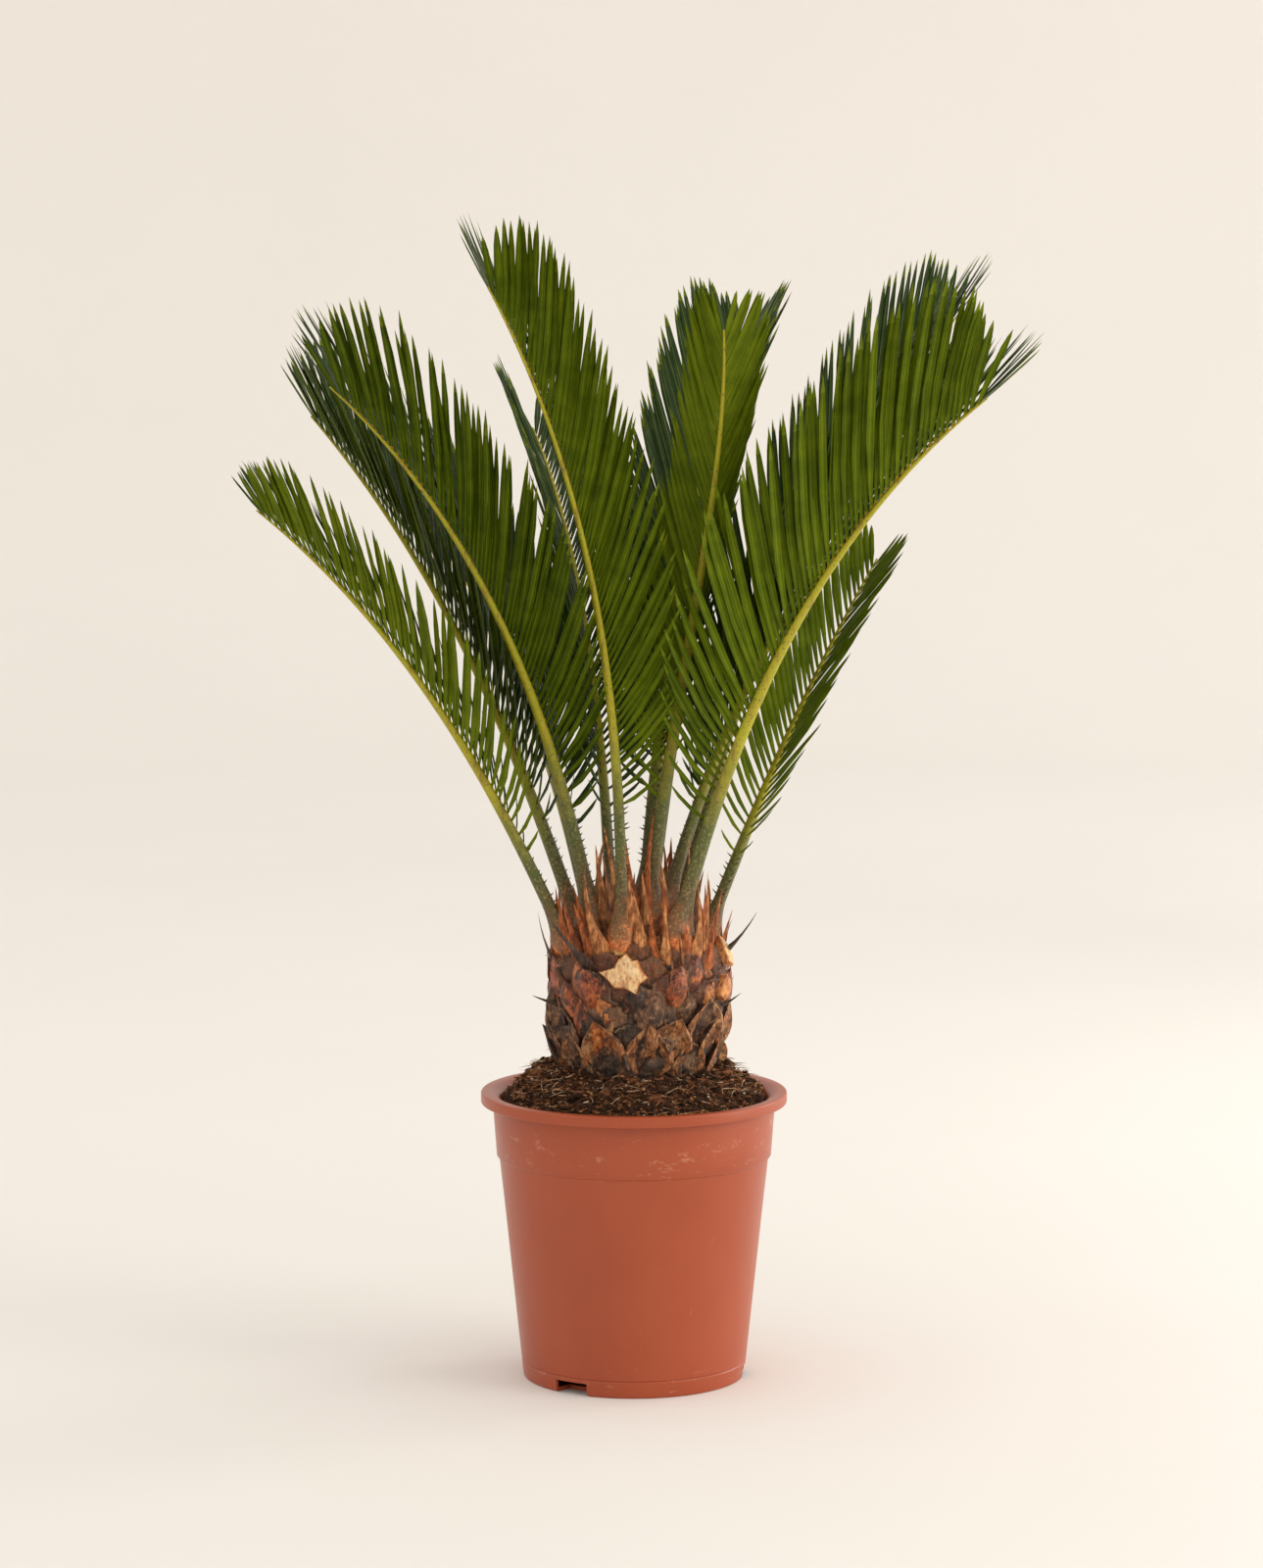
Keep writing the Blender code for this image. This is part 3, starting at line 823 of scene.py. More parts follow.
@dataclass
class Trunk:
    """The barrel trunk under its lattice of overlapping leaf bases."""

    tones: BarkTones
    centre: Vector = field(default_factory=lambda: Vector((0.003, 0.0, 0.0)))
    foot_height: float = 0.1863
    foot_radius: float = 0.0465
    belly_height: float = 0.254
    belly_radius: float = 0.0545
    top_height: float = 0.296
    lowest: float = 0.2075
    highest: float = 0.257
    count: int = 52
    proud: float = 0.0046
    sunk: float = 0.0034
    bow: float = 0.05
    steps: int = 380
    rings: int = 224

    @property
    def rise(self) -> float:
        """How much higher each next leaf base sits."""
        return (self.highest - self.lowest) / (self.count - 1)

    def dome(self, radius: float) -> float:
        """Returns the height of the rounded top at a distance from the middle."""
        share = min(1.0, radius / self.belly_radius)
        return self.belly_height + (self.top_height - self.belly_height) * math.sqrt(1.0 - share**2)

    def radius(self, height: float) -> float:
        """Works out how thick the bare trunk is.

        Args:
            height: the height above the floor.

        Returns:
            Its radius at that height.
        """
        if height > self.belly_height:
            share = min(1.0, (height - self.belly_height) / (self.top_height - self.belly_height))
            return self.belly_radius * math.sqrt(1.0 - share**2)
        share = max(0.0, (height - self.foot_height) / (self.belly_height - self.foot_height))
        return self.foot_radius + (self.belly_radius - self.foot_radius) * math.sin(math.pi / 2.0 * share)

    def skin_point(self, turn: float, height: float, out: float = 0.0) -> Vector:
        """Returns a point on the bark.

        Args:
            turn: the heading round the trunk, in radians.
            height: the height above the floor.
            out: how far the point stands off the bare trunk.

        Returns:
            The point.
        """
        radius = self.radius(height) + out
        return self.centre + Vector((radius * math.cos(turn), radius * math.sin(turn), height))

    def outline(self) -> list[Pair]:
        """Works out the bare trunk's outline, evenly spaced from its foot to its crown.

        Returns:
            The radius and height of each point.
        """
        points = []
        for share in np.linspace(0.0, 1.0, 200):
            height = self.foot_height + (self.belly_height - self.foot_height) * share
            points.append((self.radius(height), height))
        for turn in np.linspace(0.0, math.pi / 2.0, 200)[1:]:
            tall = (self.top_height - self.belly_height) * math.sin(turn)
            points.append((self.belly_radius * math.cos(turn), self.belly_height + tall))
        pairs = np.array(points)
        travelled = np.concatenate([[0.0], np.cumsum(np.hypot(*np.diff(pairs, axis=0).T))])
        wanted = np.linspace(0.0, travelled[-1], self.rings)
        radii = np.interp(wanted, travelled, pairs[:, 0])
        heights = np.interp(wanted, travelled, pairs[:, 1])
        return [(0.0, self.foot_height)] + list(zip(radii.tolist(), heights.tolist()))

    def relief(self, points: np.ndarray) -> tuple[np.ndarray, np.ndarray]:
        """Works out the leaf bases' relief and colour.

        Args:
            points: points of the bare trunk, one row each.

        Returns:
            How far each point moves outwards, and its linear colour with alpha.
        """
        flat = points[:, :2] - np.array(self.centre)[:2]
        radius = np.hypot(flat[:, 0], flat[:, 1])
        turn = np.degrees(np.arctan2(flat[:, 1], flat[:, 0])) % 360.0
        inwards = np.maximum(0.0, self.belly_radius * 0.97 - radius) * (points[:, 2] > 0.26)
        level = points[:, 2] + 0.8 * inwards
        rows = [Vector(point) for point in points.tolist()]
        slow = np.array([noise.noise(row * 42.0) for row in rows])
        other = np.array([noise.noise(row * 42.0 + Vector((9.0, 4.0, 2.0))) for row in rows])
        rough = np.array([noise.noise(row * 170.0) + 0.5 * noise.noise(row * 390.0) for row in rows])
        fibre = np.array([noise.noise(Vector((row.x * 520.0, row.y * 520.0, row.z * 70.0))) for row in rows])
        # Each eighth and each thirteenth leaf base stand nearly in line, these many degrees apart.
        first_turn, second_turn = 20.064, -12.396
        step = (level - self.lowest) / self.rise
        second = (step * first_turn / 8.0 - turn) / (13.0 * first_turn / 8.0 - second_turn)
        first = (step - 13.0 * second) / 8.0
        first = first - self.bow * np.cos(2.0 * np.pi * second) + 0.46 * slow + 0.10 * rough
        second = second - self.bow * np.cos(2.0 * np.pi * first) + 0.46 * other + 0.10 * rough
        column = np.floor(first + 0.5)
        row_number = np.floor(second + 0.5)
        base = (8 * column + 13 * row_number).astype(int)
        left = first - column
        right = second - row_number
        up = left + right
        aside = left - right
        luck = np.random.default_rng(11).random((400, 6))[np.clip(base + 120, 0, 399)]
        lift = (0.45 + 0.85 * luck[:, 0]) * np.power(np.clip((up + 1.0) / 2.0, 0.0, 1.0), 0.75)
        lift = lift * (1.0 - 0.22 * aside**2) + 0.30 * (1.0 - aside**2) * (1.0 - up**2)
        lift += 0.22 * (luck[:, 3] - 0.5) * aside
        lower = np.clip((0.246 - level) / 0.02, 0.0, 1.0)
        out = self.proud * lift - self.sunk + 0.0012 * rough + 0.0007 * fibre * (0.5 + lower)
        fade = np.clip((points[:, 2] - self.foot_height) / 0.006, 0.0, 1.0) * np.clip(radius / 0.03, 0.0, 1.0)
        return out * fade, self.tones.dealt(level, left, right, luck, slow, other, rough, fibre)

    def make(self) -> Piece:
        """Turns the barrel on its axis, raises its leaf bases and colours them.

        Returns:
            The bark.
        """
        shape = turned(self.outline(), self.steps)
        bmesh.ops.translate(shape, verts=shape.verts, vec=self.centre)
        mesh = bpy.data.meshes.new("trunk_bark")
        shape.to_mesh(mesh)
        shape.free()
        points = np.empty(len(mesh.vertices) * 3)
        mesh.vertices.foreach_get("co", points)
        points = points.reshape(-1, 3)
        out, colours = self.relief(points)
        flat = points - np.array(self.centre)
        tall = np.maximum(0.0, flat[:, 2] - self.belly_height)
        outward = np.column_stack([flat[:, 0], flat[:, 1], tall * 1.7])
        outward /= np.maximum(np.linalg.norm(outward, axis=1), 0.0001)[:, None]
        points = points + outward * out[:, None]
        mesh.vertices.foreach_set("co", points.ravel())
        mesh.attributes.new("bark", "FLOAT_COLOR", "POINT").data.foreach_set("color", colours.ravel())
        return dressed("trunk_bark", mesh, [BarkSkin("dry_bark").make()], 80.0)


@dataclass
class Scar:
    """A pale star shaped scar where a leaf base broke off the trunk."""

    trunk: Trunk
    number: int
    degrees: float
    height: float
    out: float
    outline: tuple[Pair, ...]
    reach: Pair = (0.008, 0.010)
    depth: float = 0.004
    insets: tuple[Pair, ...] = ((0.0008, 0.0005), (0.0022, 0.0008), (0.0020, 0.0004))

    def covers(self, turn: float, height: float) -> bool:
        """Tells whether a leaf base would poke through the scar.

        Args:
            turn: the leaf base's heading in radians.
            height: its height above the floor.

        Returns:
            Whether it would.
        """
        aside = (math.degrees(turn) - self.degrees + 180.0) % 360.0 - 180.0
        along = math.radians(aside) * self.trunk.radius(self.height)
        return abs(along) < self.reach[0] and abs(height - self.height) < self.reach[1]

    def make(self, skins: list[Material]) -> Piece:
        """Makes the scar as a low domed plate on the bark.

        Args:
            skins: the materials of its face and of its rim.

        Returns:
            The scar.
        """
        shape = bmesh.new()
        rim = []
        for x, z in self.outline:
            turn = math.radians(self.degrees) + x / 1000.0 / self.trunk.radius(self.height)
            rim.append(shape.verts.new(self.trunk.skin_point(turn, self.height + z / 1000.0, self.out)))
        face = shape.faces.new(rim)
        face.normal_update()
        if face.normal.dot(compass(math.radians(self.degrees))[0]) < 0.0:
            face.normal_flip()
        away = face.normal.copy()
        back = bmesh.ops.extrude_face_region(shape, geom=[face], use_keep_orig=True)
        sunk = [item for item in back["geom"] if isinstance(item, bmesh.types.BMVert)]
        bmesh.ops.translate(shape, verts=sunk, vec=away * -self.depth)
        bmesh.ops.recalc_face_normals(shape, faces=shape.faces)
        for item in shape.faces:
            item.material_index = 1
        for thickness, depth in self.insets:
            bmesh.ops.inset_individual(shape, faces=[face], thickness=thickness, depth=depth)
            face.material_index = 0
        bmesh.ops.triangulate(shape, faces=[item for item in shape.faces if len(item.verts) > 4])
        return solid_of(f"leaf_scar_{self.number}", shape, skins, 40.0)


@dataclass
class LeafBases:
    """The old leaf bases that clothe the trunk like the scales of a cone, but for where one broke off."""

    trunk: Trunk
    first: int = -9
    last: int = 56
    half: float = 0.0136
    length: float = 0.0262
    drop: float = 0.0105
    lean: float = 0.24
    foot_out: float = -0.0012
    dry_height: float = 0.2330
    turn_jitter: float = 2.0
    height_jitter: float = 0.0011
    dry_jitter: float = 0.004
    growth: Pair = (0.80, 1.16)
    large_height: float = 0.232
    large: float = 1.08
    small: float = 0.94
    broken_length: float = 0.62
    dry_length: float = 1.06
    dry_lean: float = 0.9
    lean_change: Pair = (0.6, 1.5)
    side_jitter: float = 0.12
    bow: Pair = (-0.24, 0.06)
    width_change: Pair = (0.86, 1.12)
    twist_jitter: float = 0.14
    tone_foot: float = 0.214
    tone_rise: float = 0.036
    orange: tuple[int, ...] = (28, 39)
    broken: tuple[int, ...] = (49,)
    scars: tuple[Scar, ...] = ()

    shape = BladeShape(
        stations=(0.0, 0.12, 0.28, 0.44, 0.60, 0.75, 0.88, 0.96),
        widths=(0.46, 0.74, 0.96, 1.0, 0.86, 0.58, 0.30, 0.10),
        section=(
            (-1.0, -0.56), (-0.70, -0.18), (-0.34, 0.08), (0.0, 0.22), (0.34, 0.08), (0.70, -0.18),
            (1.0, -0.56), (0.55, -0.52), (0.0, -0.40), (-0.55, -0.52),
        ),
        sides=(1, 0, 0, 0, 0, 1, 2, 2, 2, 2),
    )
    dry_shape = BladeShape(
        stations=(0.0, 0.12, 0.28, 0.44, 0.60, 0.75, 0.88, 0.96),
        widths=(0.60, 0.86, 1.0, 0.98, 0.82, 0.54, 0.26, 0.09),
        section=(
            (-1.0, 0.02), (-0.84, 0.16), (-0.50, -0.04), (0.0, -0.10), (0.50, -0.04), (0.84, 0.16),
            (1.0, 0.02), (0.55, -0.42), (0.0, -0.50), (-0.55, -0.42),
        ),
        sides=(1, 1, 0, 0, 1, 1, 2, 2, 2, 2),
    )

    def make(self, luck: random.Random) -> Piece:
        """Makes all the leaf bases that are still there.

        Args:
            luck: the seeded random numbers.

        Returns:
            The joined piece.
        """
        bunch = Bunch()
        for index in range(self.first, self.last + 1):
            turn = index * GOLDEN_ANGLE + math.radians(luck.gauss(0.0, self.turn_jitter))
            height = self.trunk.lowest + index * self.trunk.rise + luck.gauss(0.0, self.height_jitter)
            if any(scar.covers(turn, height) for scar in self.scars):
                continue
            grown = pick(luck, *self.growth) * (self.large if height < self.large_height else self.small)
            dry = height + luck.gauss(0.0, self.dry_jitter) < self.dry_height
            form = self.dry_shape if dry else self.shape
            longer = self.broken_length if index in self.broken else self.dry_length if dry else 1.0
            length = self.length * grown * longer
            away, side = compass(turn)
            foot_height = max(height - self.drop * grown, self.trunk.foot_height + 0.001)
            foot = self.trunk.skin_point(turn, foot_height, self.foot_out)
            ahead = self.trunk.skin_point(turn, foot_height + length * 0.8, self.foot_out)
            lean = self.lean * pick(luck, *self.lean_change) * (self.dry_lean if dry else 1.0)
            along = (ahead - foot).normalized() + away * lean + side * luck.gauss(0.0, self.side_jitter)
            along = along.normalized()
            bend = (away * pick(luck, *self.bow) + side * luck.gauss(0.0, self.side_jitter)) * length
            half = self.half * grown * pick(luck, *self.width_change)
            deal = self.tones(luck, index, height)
            twist = luck.gauss(0.0, self.twist_jitter)
            bunch.add(*form.grow(foot, along, away, length, half, bend, twist, deal))
        skins = skins_of(
            BaseSkin,
            ("grey_base", (42, 25, 18), (106, 70, 48), (206, 156, 112), 0.56),
            ("tan_base", (76, 38, 18), (162, 100, 54), (240, 184, 126), 0.56),
            ("dark_base", (26, 15, 11), (72, 46, 34), (172, 126, 92), 0.48),
            ("red_base", (66, 23, 10), (154, 70, 32), (234, 146, 84), 0.36),
            ("purple_base", (80, 32, 22), (156, 78, 52), (228, 152, 116), 0.32),
            ("rust_base", (94, 38, 12), (190, 100, 42), (244, 168, 94), 0.44),
            ("orange_base", (124, 60, 22), (200, 120, 58), (246, 192, 122), 0.46),
        )
        return bunch.finish("leaf_bases", skins, 50.0)

    def tones(self, luck: random.Random, index: int, height: float) -> tuple[int, int, int]:
        """Deals a leaf base its tones, which are redder and richer higher up.

        Args:
            luck: the seeded random numbers.
            index: the leaf base's number.
            height: its height above the floor.

        Returns:
            The slots of its middle, of its rims and of its back.
        """
        if index in self.orange:
            return (6, 3, 2)
        share = (height + luck.gauss(0.0, self.dry_jitter) - self.tone_foot) / self.tone_rise
        if share < 0.40:
            return (luck.choice((0, 0, 1, 2, 2, 5)), luck.choice((0, 1, 1, 2)), 2)
        body = luck.choice((0, 2, 3, 0, 4)) if share < 0.66 else luck.choice((4, 3, 4, 3, 5, 5))
        rim = luck.choice((body, body, 2, 2, 1))
        return (body, rim, 2)


@dataclass
class Crown:
    """The dry scale leaves, spines and woolly felt between the stalks."""

    trunk: Trunk
    count: int = 46
    ring: Pair = (0.35, 0.97)
    lean: Pair = (0.08, 0.34)
    length: float = 0.042
    length_share: Pair = (1.15, 0.70)
    length_change: float = 0.25
    length_wave: float = 1.7
    lean_jitter: float = 0.08
    bow: Pair = (-0.34, 0.05)
    side_bow: float = 0.25
    twist: float = 0.5
    sink: float = 0.006
    half: float = 0.0074
    half_change: Pair = (0.65, 1.2)
    tan_rims: float = 0.6
    clear: Pair = (-101.0, 26.0)
    clear_from: float = 0.45
    placed_foot_out: float = -0.003
    placed_bow: float = 0.20
    placed_side_bow: float = 0.16
    placed_twist: float = 0.4
    tip_first: int = -8
    tip_last: int = 59
    tip_share: float = 0.62
    tip_turn: float = math.radians(2.0)
    tip_steps_up: float = 5.0
    tip_foot_out: float = 0.0004
    tip_lean: Pair = (0.06, 0.26)
    tip_aside: float = 0.34
    tip_bow: Pair = (-0.10, 0.22)
    dark_tips_below: float = 0.235
    long_tips: float = 0.35
    long_tip: Pair = (0.020, 0.032)
    long_tip_half: Pair = (0.0016, 0.0028)
    short_tip: Pair = (0.011, 0.019)
    short_tip_half: Pair = (0.0024, 0.0042)
    felt_count: int = 5200
    felt_reach: Pair = (0.02, 0.97)
    hair_foot: Pair = (-0.002, 0.0015)
    hair_rise: Pair = (0.3, 1.6)
    hair_lean: float = 0.5
    hair_length: Pair = (0.002, 0.0065)
    hair_half: float = 0.00016
    hair_bow: float = 0.4
    hair_droop: float = 0.2
    # Each placed leaf: its foot's heading and height, its tip in mm, mm and metres, its half width and tone.
    placed: tuple[tuple[float, float, float, float, float, float, float], ...] = (
        (-116, 0.266, -30, -40, 0.3200, 0.0068, 0),
        (-124, 0.266, -37, -36, 0.3020, 0.0066, 1),
        (-88, 0.268, -3, -37, 0.3160, 0.0066, 0),
        (-77, 0.264, 10, -42, 0.3000, 0.0056, 1),
        (-69, 0.262, 19, -46, 0.3060, 0.0052, 0),
        (-58, 0.250, 26, -50, 0.2880, 0.0036, 2),
        (-46, 0.262, 39, -38, 0.3120, 0.0058, 0),
        (-37, 0.264, 45, -30, 0.3200, 0.0050, 0),
        (-28, 0.266, 37, -22, 0.3100, 0.0056, 1),
        (-150, 0.266, -46, -26, 0.3100, 0.0060, 1),
        (-96, 0.288, -8, -12, 0.3560, 0.0050, 1),
        (-80, 0.288, 14, -14, 0.3620, 0.0044, 1),
        (-110, 0.286, -19, -16, 0.3480, 0.0050, 0),
        (-122, 0.257, -56, -60, 0.3030, 0.0046, 3),
        (-170, 0.256, -59, -15, 0.2930, 0.0036, 3),
        (-11, 0.262, 76, -20, 0.2940, 0.0042, 3),
        (-21, 0.232, 66, -25, 0.2440, 0.0044, 3),
        (-160, 0.234, -63, -22, 0.2420, 0.0040, 3),
        (-165, 0.270, -41, -10, 0.3130, 0.0046, 1),
    )

    shape = BladeShape(
        stations=(0.0, 0.10, 0.22, 0.36, 0.54, 0.75, 0.92),
        widths=(0.92, 1.0, 0.80, 0.50, 0.30, 0.17, 0.07),
        section=(
            (-1.0, 0.62), (-0.8, 0.38), (-0.4, 0.08), (0.0, 0.0), (0.4, 0.08), (0.8, 0.38), (1.0, 0.62),
            (0.5, -0.06), (0.0, -0.24), (-0.5, -0.06),
        ),
        sides=(1, 0, 0, 0, 0, 1, 0, 0, 0, 0),
    )
    hair = BladeShape(
        stations=(0.0, 0.5),
        widths=(1.0, 0.7),
        section=((-1.0, -0.6), (0.0, 1.0), (1.0, -0.6)),
        sides=(0, 0, 0),
    )

    def scale_leaves(self, luck: random.Random) -> Piece:
        """Makes the pointed scale leaves of the crown.

        Args:
            luck: the seeded random numbers.

        Returns:
            The joined piece.
        """
        bunch = Bunch()
        for index in range(self.count):
            share = (index + 0.5) / self.count
            out = self.ring[0] + (self.ring[1] - self.ring[0]) * math.sqrt(share)
            radius = self.trunk.belly_radius * out
            turn = (index + 0.25) * GOLDEN_ANGLE
            side_on = abs((math.degrees(turn) - self.clear[0] + 180.0) % 360.0 - 180.0)
            if side_on < self.clear[1] and share > self.clear_from:
                continue
            lean = self.lean[0] + (self.lean[1] - self.lean[0]) * share
            lean += pick(luck, -self.lean_jitter, self.lean_jitter)
            change = 1.0 + self.length_change * math.sin(index * self.length_wave)
            grown = self.length_share[0] + (self.length_share[1] - self.length_share[0]) * share
            length = self.length * grown * change
            away, side = compass(turn)
            foot = self.trunk.centre + away * radius
            foot.z = self.trunk.dome(radius) - self.sink
            along = (away * lean + Vector((0.0, 0.0, 1.0))).normalized()
            bend = (away * pick(luck, *self.bow) + side * pick(luck, -self.side_bow, self.side_bow)) * length
            half = self.half * pick(luck, *self.half_change)
            tone = luck.choice((0, 0, 1, 1, 2))
            rim = 0 if luck.random() < self.tan_rims else tone
            twist = pick(luck, -self.twist, self.twist)
            bunch.add(*self.shape.grow(foot, along, -away, length, half, bend, twist, (tone, rim)))
        for turn, height, tip_x, tip_y, tip_z, half, tone in self.placed:
            foot = self.trunk.skin_point(math.radians(turn), height, self.placed_foot_out)
            tip = Vector((tip_x / 1000.0, tip_y / 1000.0, tip_z))
            away, side = compass(math.radians(turn))
            aside = pick(luck, -self.placed_side_bow, self.placed_side_bow)
            bend = (-away * self.placed_bow + side * aside) * (tip - foot).length
            along = tip - foot - bend
            length = along.length
            along = along.normalized()
            twist = pick(luck, -self.placed_twist, self.placed_twist)
            bunch.add(*self.shape.grow(foot, along, -away, length, half, bend, twist, (tone, tone)))
        skins = skins_of(
            DryLeaf,
            ("tan_scale_leaf", (130, 70, 32), (226, 158, 98), 620.0),
            ("red_scale_leaf", (118, 54, 22), (206, 118, 62), 620.0),
            ("dark_scale_leaf", (70, 40, 22), (152, 100, 60), 620.0),
            ("grey_spine", (58, 44, 36), (110, 88, 72)),
        )
        return bunch.finish("crown_scale_leaves", skins, 60.0)

    def base_tips(self, luck: random.Random) -> Piece:
        """Makes the withered pointed tips of the trunk's leaf bases, which lie up against the bark.

        Args:
            luck: the seeded random numbers.

        Returns:
            The joined piece.
        """
        bunch = Bunch()
        for index in range(self.tip_first, self.tip_last + 1):
            if luck.random() > self.tip_share:
                continue
            turn = index * GOLDEN_ANGLE + self.tip_turn
            height = self.trunk.lowest + (index + self.tip_steps_up) * self.trunk.rise
            away, side = compass(turn)
            long_one = luck.random() < self.long_tips
            length = pick(luck, *(self.long_tip if long_one else self.short_tip))
            foot = self.trunk.skin_point(turn, height, self.tip_foot_out)
            along = Vector((0.0, 0.0, 1.0)) + away * pick(luck, *self.tip_lean)
            along = (along + side * pick(luck, -self.tip_aside, self.tip_aside)).normalized()
            aside = away * pick(luck, *self.tip_bow) + side * pick(luck, -self.side_bow, self.side_bow)
            bend = aside * length
            tone = luck.choice((0, 1, 2) if height < self.dark_tips_below else (0, 1, 1))
            half = pick(luck, *(self.long_tip_half if long_one else self.short_tip_half))
            twist = pick(luck, -self.twist, self.twist)
            bunch.add(*self.shape.grow(foot, along, away, length, half, bend, twist, (tone, tone)))
        skins = skins_of(
            DryLeaf,
            ("brown_base_tip", (82, 58, 42), (158, 122, 92), 620.0),
            ("rust_base_tip", (104, 62, 42), (162, 106, 74), 620.0),
            ("dark_base_tip", (44, 32, 26), (98, 76, 62), 620.0),
        )
        return bunch.finish("base_tips", skins, 60.0)

    def felt(self, luck: random.Random) -> Piece:
        """Makes the short rust coloured wool of the crown.

        Args:
            luck: the seeded random numbers.

        Returns:
            The joined piece.
        """
        bunch = Bunch()
        for _ in range(self.felt_count):
            turn = pick(luck, 0.0, math.tau)
            radius = self.trunk.belly_radius * math.sqrt(pick(luck, *self.felt_reach))
            away, _ = compass(turn)
            foot = self.trunk.centre + away * radius
            foot.z = self.trunk.dome(radius) + pick(luck, *self.hair_foot)
            drift = Vector((pick(luck, -1.0, 1.0), pick(luck, -1.0, 1.0), pick(luck, *self.hair_rise)))
            along = (drift + away * self.hair_lean).normalized()
            length = pick(luck, *self.hair_length)
            bow_x, bow_y = (pick(luck, -self.hair_bow, self.hair_bow) for _ in range(2))
            bend = Vector((bow_x, bow_y, -self.hair_droop)) * length
            tone = luck.choice((0, 0, 1, 2))
            up = away.cross(along)
            bunch.add(*self.hair.grow(foot, along, up, length, self.hair_half, bend, 0.0, (tone,)))
        skins = skins_of(
            DryLeaf,
            ("rust_wool", (168, 84, 36), (220, 130, 66), 900.0, 0.8),
            ("tan_wool", (150, 112, 74), (206, 166, 120), 900.0, 0.8),
            ("brown_wool", (84, 50, 30), (130, 84, 54), 900.0, 0.8),
        )
        return bunch.finish("crown_felt", skins, 60.0)


@dataclass
class FrondMaker:
    """Grows a frond's rib, thorns and leaflets by the same rule as the CAD, with finer leaflets."""

    trunk: Trunk
    steps: int = 96
    rib_sink: float = 0.015
    foot_out: float = 0.0110
    foot_reach: float = 0.0475
    foot_round: float = 0.0140
    foot_crowding: float = 1.35
    foot_out_end: float = 0.06
    arch_power: float = 1.5
    blade_start: float = 0.18
    blade_end: float = 0.985
    flare_end: float = 0.07
    flare: float = 1.4
    tip_radius: float = 0.0006
    keel: float = math.radians(40.0)
    pace: float = 0.0048
    fill: float = 1.85
    tilt: float = math.radians(13.0)
    least_width: float = 0.0046
    most_width: float = 0.0066
    curve: float = 0.12
    foot_curve: float = 0.30
    root_sink: float = 0.5
    sparse_end: float = 0.07
    tip_angle: float = math.radians(31.0)
    opening: float = math.radians(50.0)
    angle_power: float = 6.0
    closing_span: float = 0.045
    closed_share: float = 0.55
    foot_length_share: float = 0.26
    full_length_at: float = 0.35
    shortening_from: float = 0.74
    shortening: float = 0.62
    rib_sides: int = 12
    rib_cuts: int = 84
    rib_wide: float = 1.06
    rib_thick: float = 0.94
    rib_flat: float = 0.86
    swell: float = 0.85
    swell_thick: float = 0.6
    swell_end: float = 0.085
    thorn_pace: float = 0.0048
    thorn_half: float = 0.00085
    thorn_bend: float = 0.0007
    thorn_free: float = 0.05
    thorn_stop: float = 0.045
    thorn_jitter: Pair = (0.1, 0.9)
    thorn_aside: float = 0.8
    thorn_up: float = 0.6
    thorn_root: float = 0.8
    thorn_lean: Pair = (0.1, 0.5)
    dry_from: float = 0.8
    variant_share: float = 0.4
    thorn_first: float = 0.055
    thorn_length: Pair = (0.0024, 0.0046)
    keel_jitter: float = 2.2
    angle_jitter: float = 1.3
    twist_jitter: float = 6.0
    length_change: Pair = (0.96, 1.02)
    foot_width: float = 0.38
    full_width_at: float = 0.32
    foot_curve_end: float = 0.25
    droop: float = 0.05
    thinning: float = 0.1
    taper: float = 1.15

    # Kinds of side: 0 upper face, 1 its midrib, 2 lower face, 3 its midrib, 4 foot, 5 tip, 6 painted shade
    # lines along the edges and in the grooves of the lower face.
    leaflet_shape = BladeShape(
        stations=(0.0, 0.05, 0.15, 0.42, 0.78, 0.92),
        widths=(0.34, 0.40, 0.54, 1.0, 0.86, 0.48),
        section=(
            (-1.0, -0.34), (-0.08, 0.0), (0.08, 0.0), (1.0, -0.34), (0.84, -0.35), (0.54, -0.255),
            (0.44, -0.225), (0.09, -0.11), (-0.09, -0.11), (-0.44, -0.225), (-0.54, -0.255), (-0.84, -0.35),
        ),
        sides=(0, 1, 0, 6, 2, 6, 2, 3, 2, 6, 2, 6),
        foot_kind=4,
        tip_kind=5,
    )
    thorn_shape = BladeShape(
        stations=(0.0, 0.45),
        widths=(1.0, 0.62),
        section=((-1.0, 0.0), (0.0, 0.8), (1.0, 0.0), (0.0, -0.8)),
        sides=(0, 0, 0, 0),
        tip_kind=1,
    )

    def direction(self, frond: Frond, share: float) -> Vector:
        """Works out where the rib points.

        Args:
            frond: the frond's measures.
            share: the share of the rib's length.

        Returns:
            The rib's direction there.
        """
        lean = math.radians(frond.lean + frond.arch * max(share, 0.0) ** self.arch_power)
        heading = math.radians(frond.heading + frond.sweep * max(share, 0.0))
        flat = math.sin(lean)
        return Vector((flat * math.cos(heading), flat * math.sin(heading), math.cos(lean)))

    def line(self, frond: Frond) -> list[Vector]:
        """Works out the run of the rib.

        Args:
            frond: the frond's measures.

        Returns:
            The points of the rib from its seat to its tip.
        """
        x, y = frond.seat
        point = Vector((x, y, self.trunk.dome(math.hypot(x - self.trunk.centre.x, y))))
        points = [point]
        for index in range(self.steps):
            point = point + self.direction(frond, (index + 0.5) / self.steps) * (frond.length / self.steps)
            points.append(point)
        return points

    def place(self, frond: Frond, line: list[Vector], share: float) -> Vector:
        """Finds a point of the rib, below its seat too.

        Args:
            frond: the frond's measures.
            line: the points of the rib.
            share: the share of the rib's length.

        Returns:
            The point.
        """
        if share <= 0.0:
            return line[0] + self.direction(frond, 0.0) * (share * frond.length)
        step = min(share, 0.9999) * self.steps
        low = int(step)
        return line[low].lerp(line[low + 1], step - low)

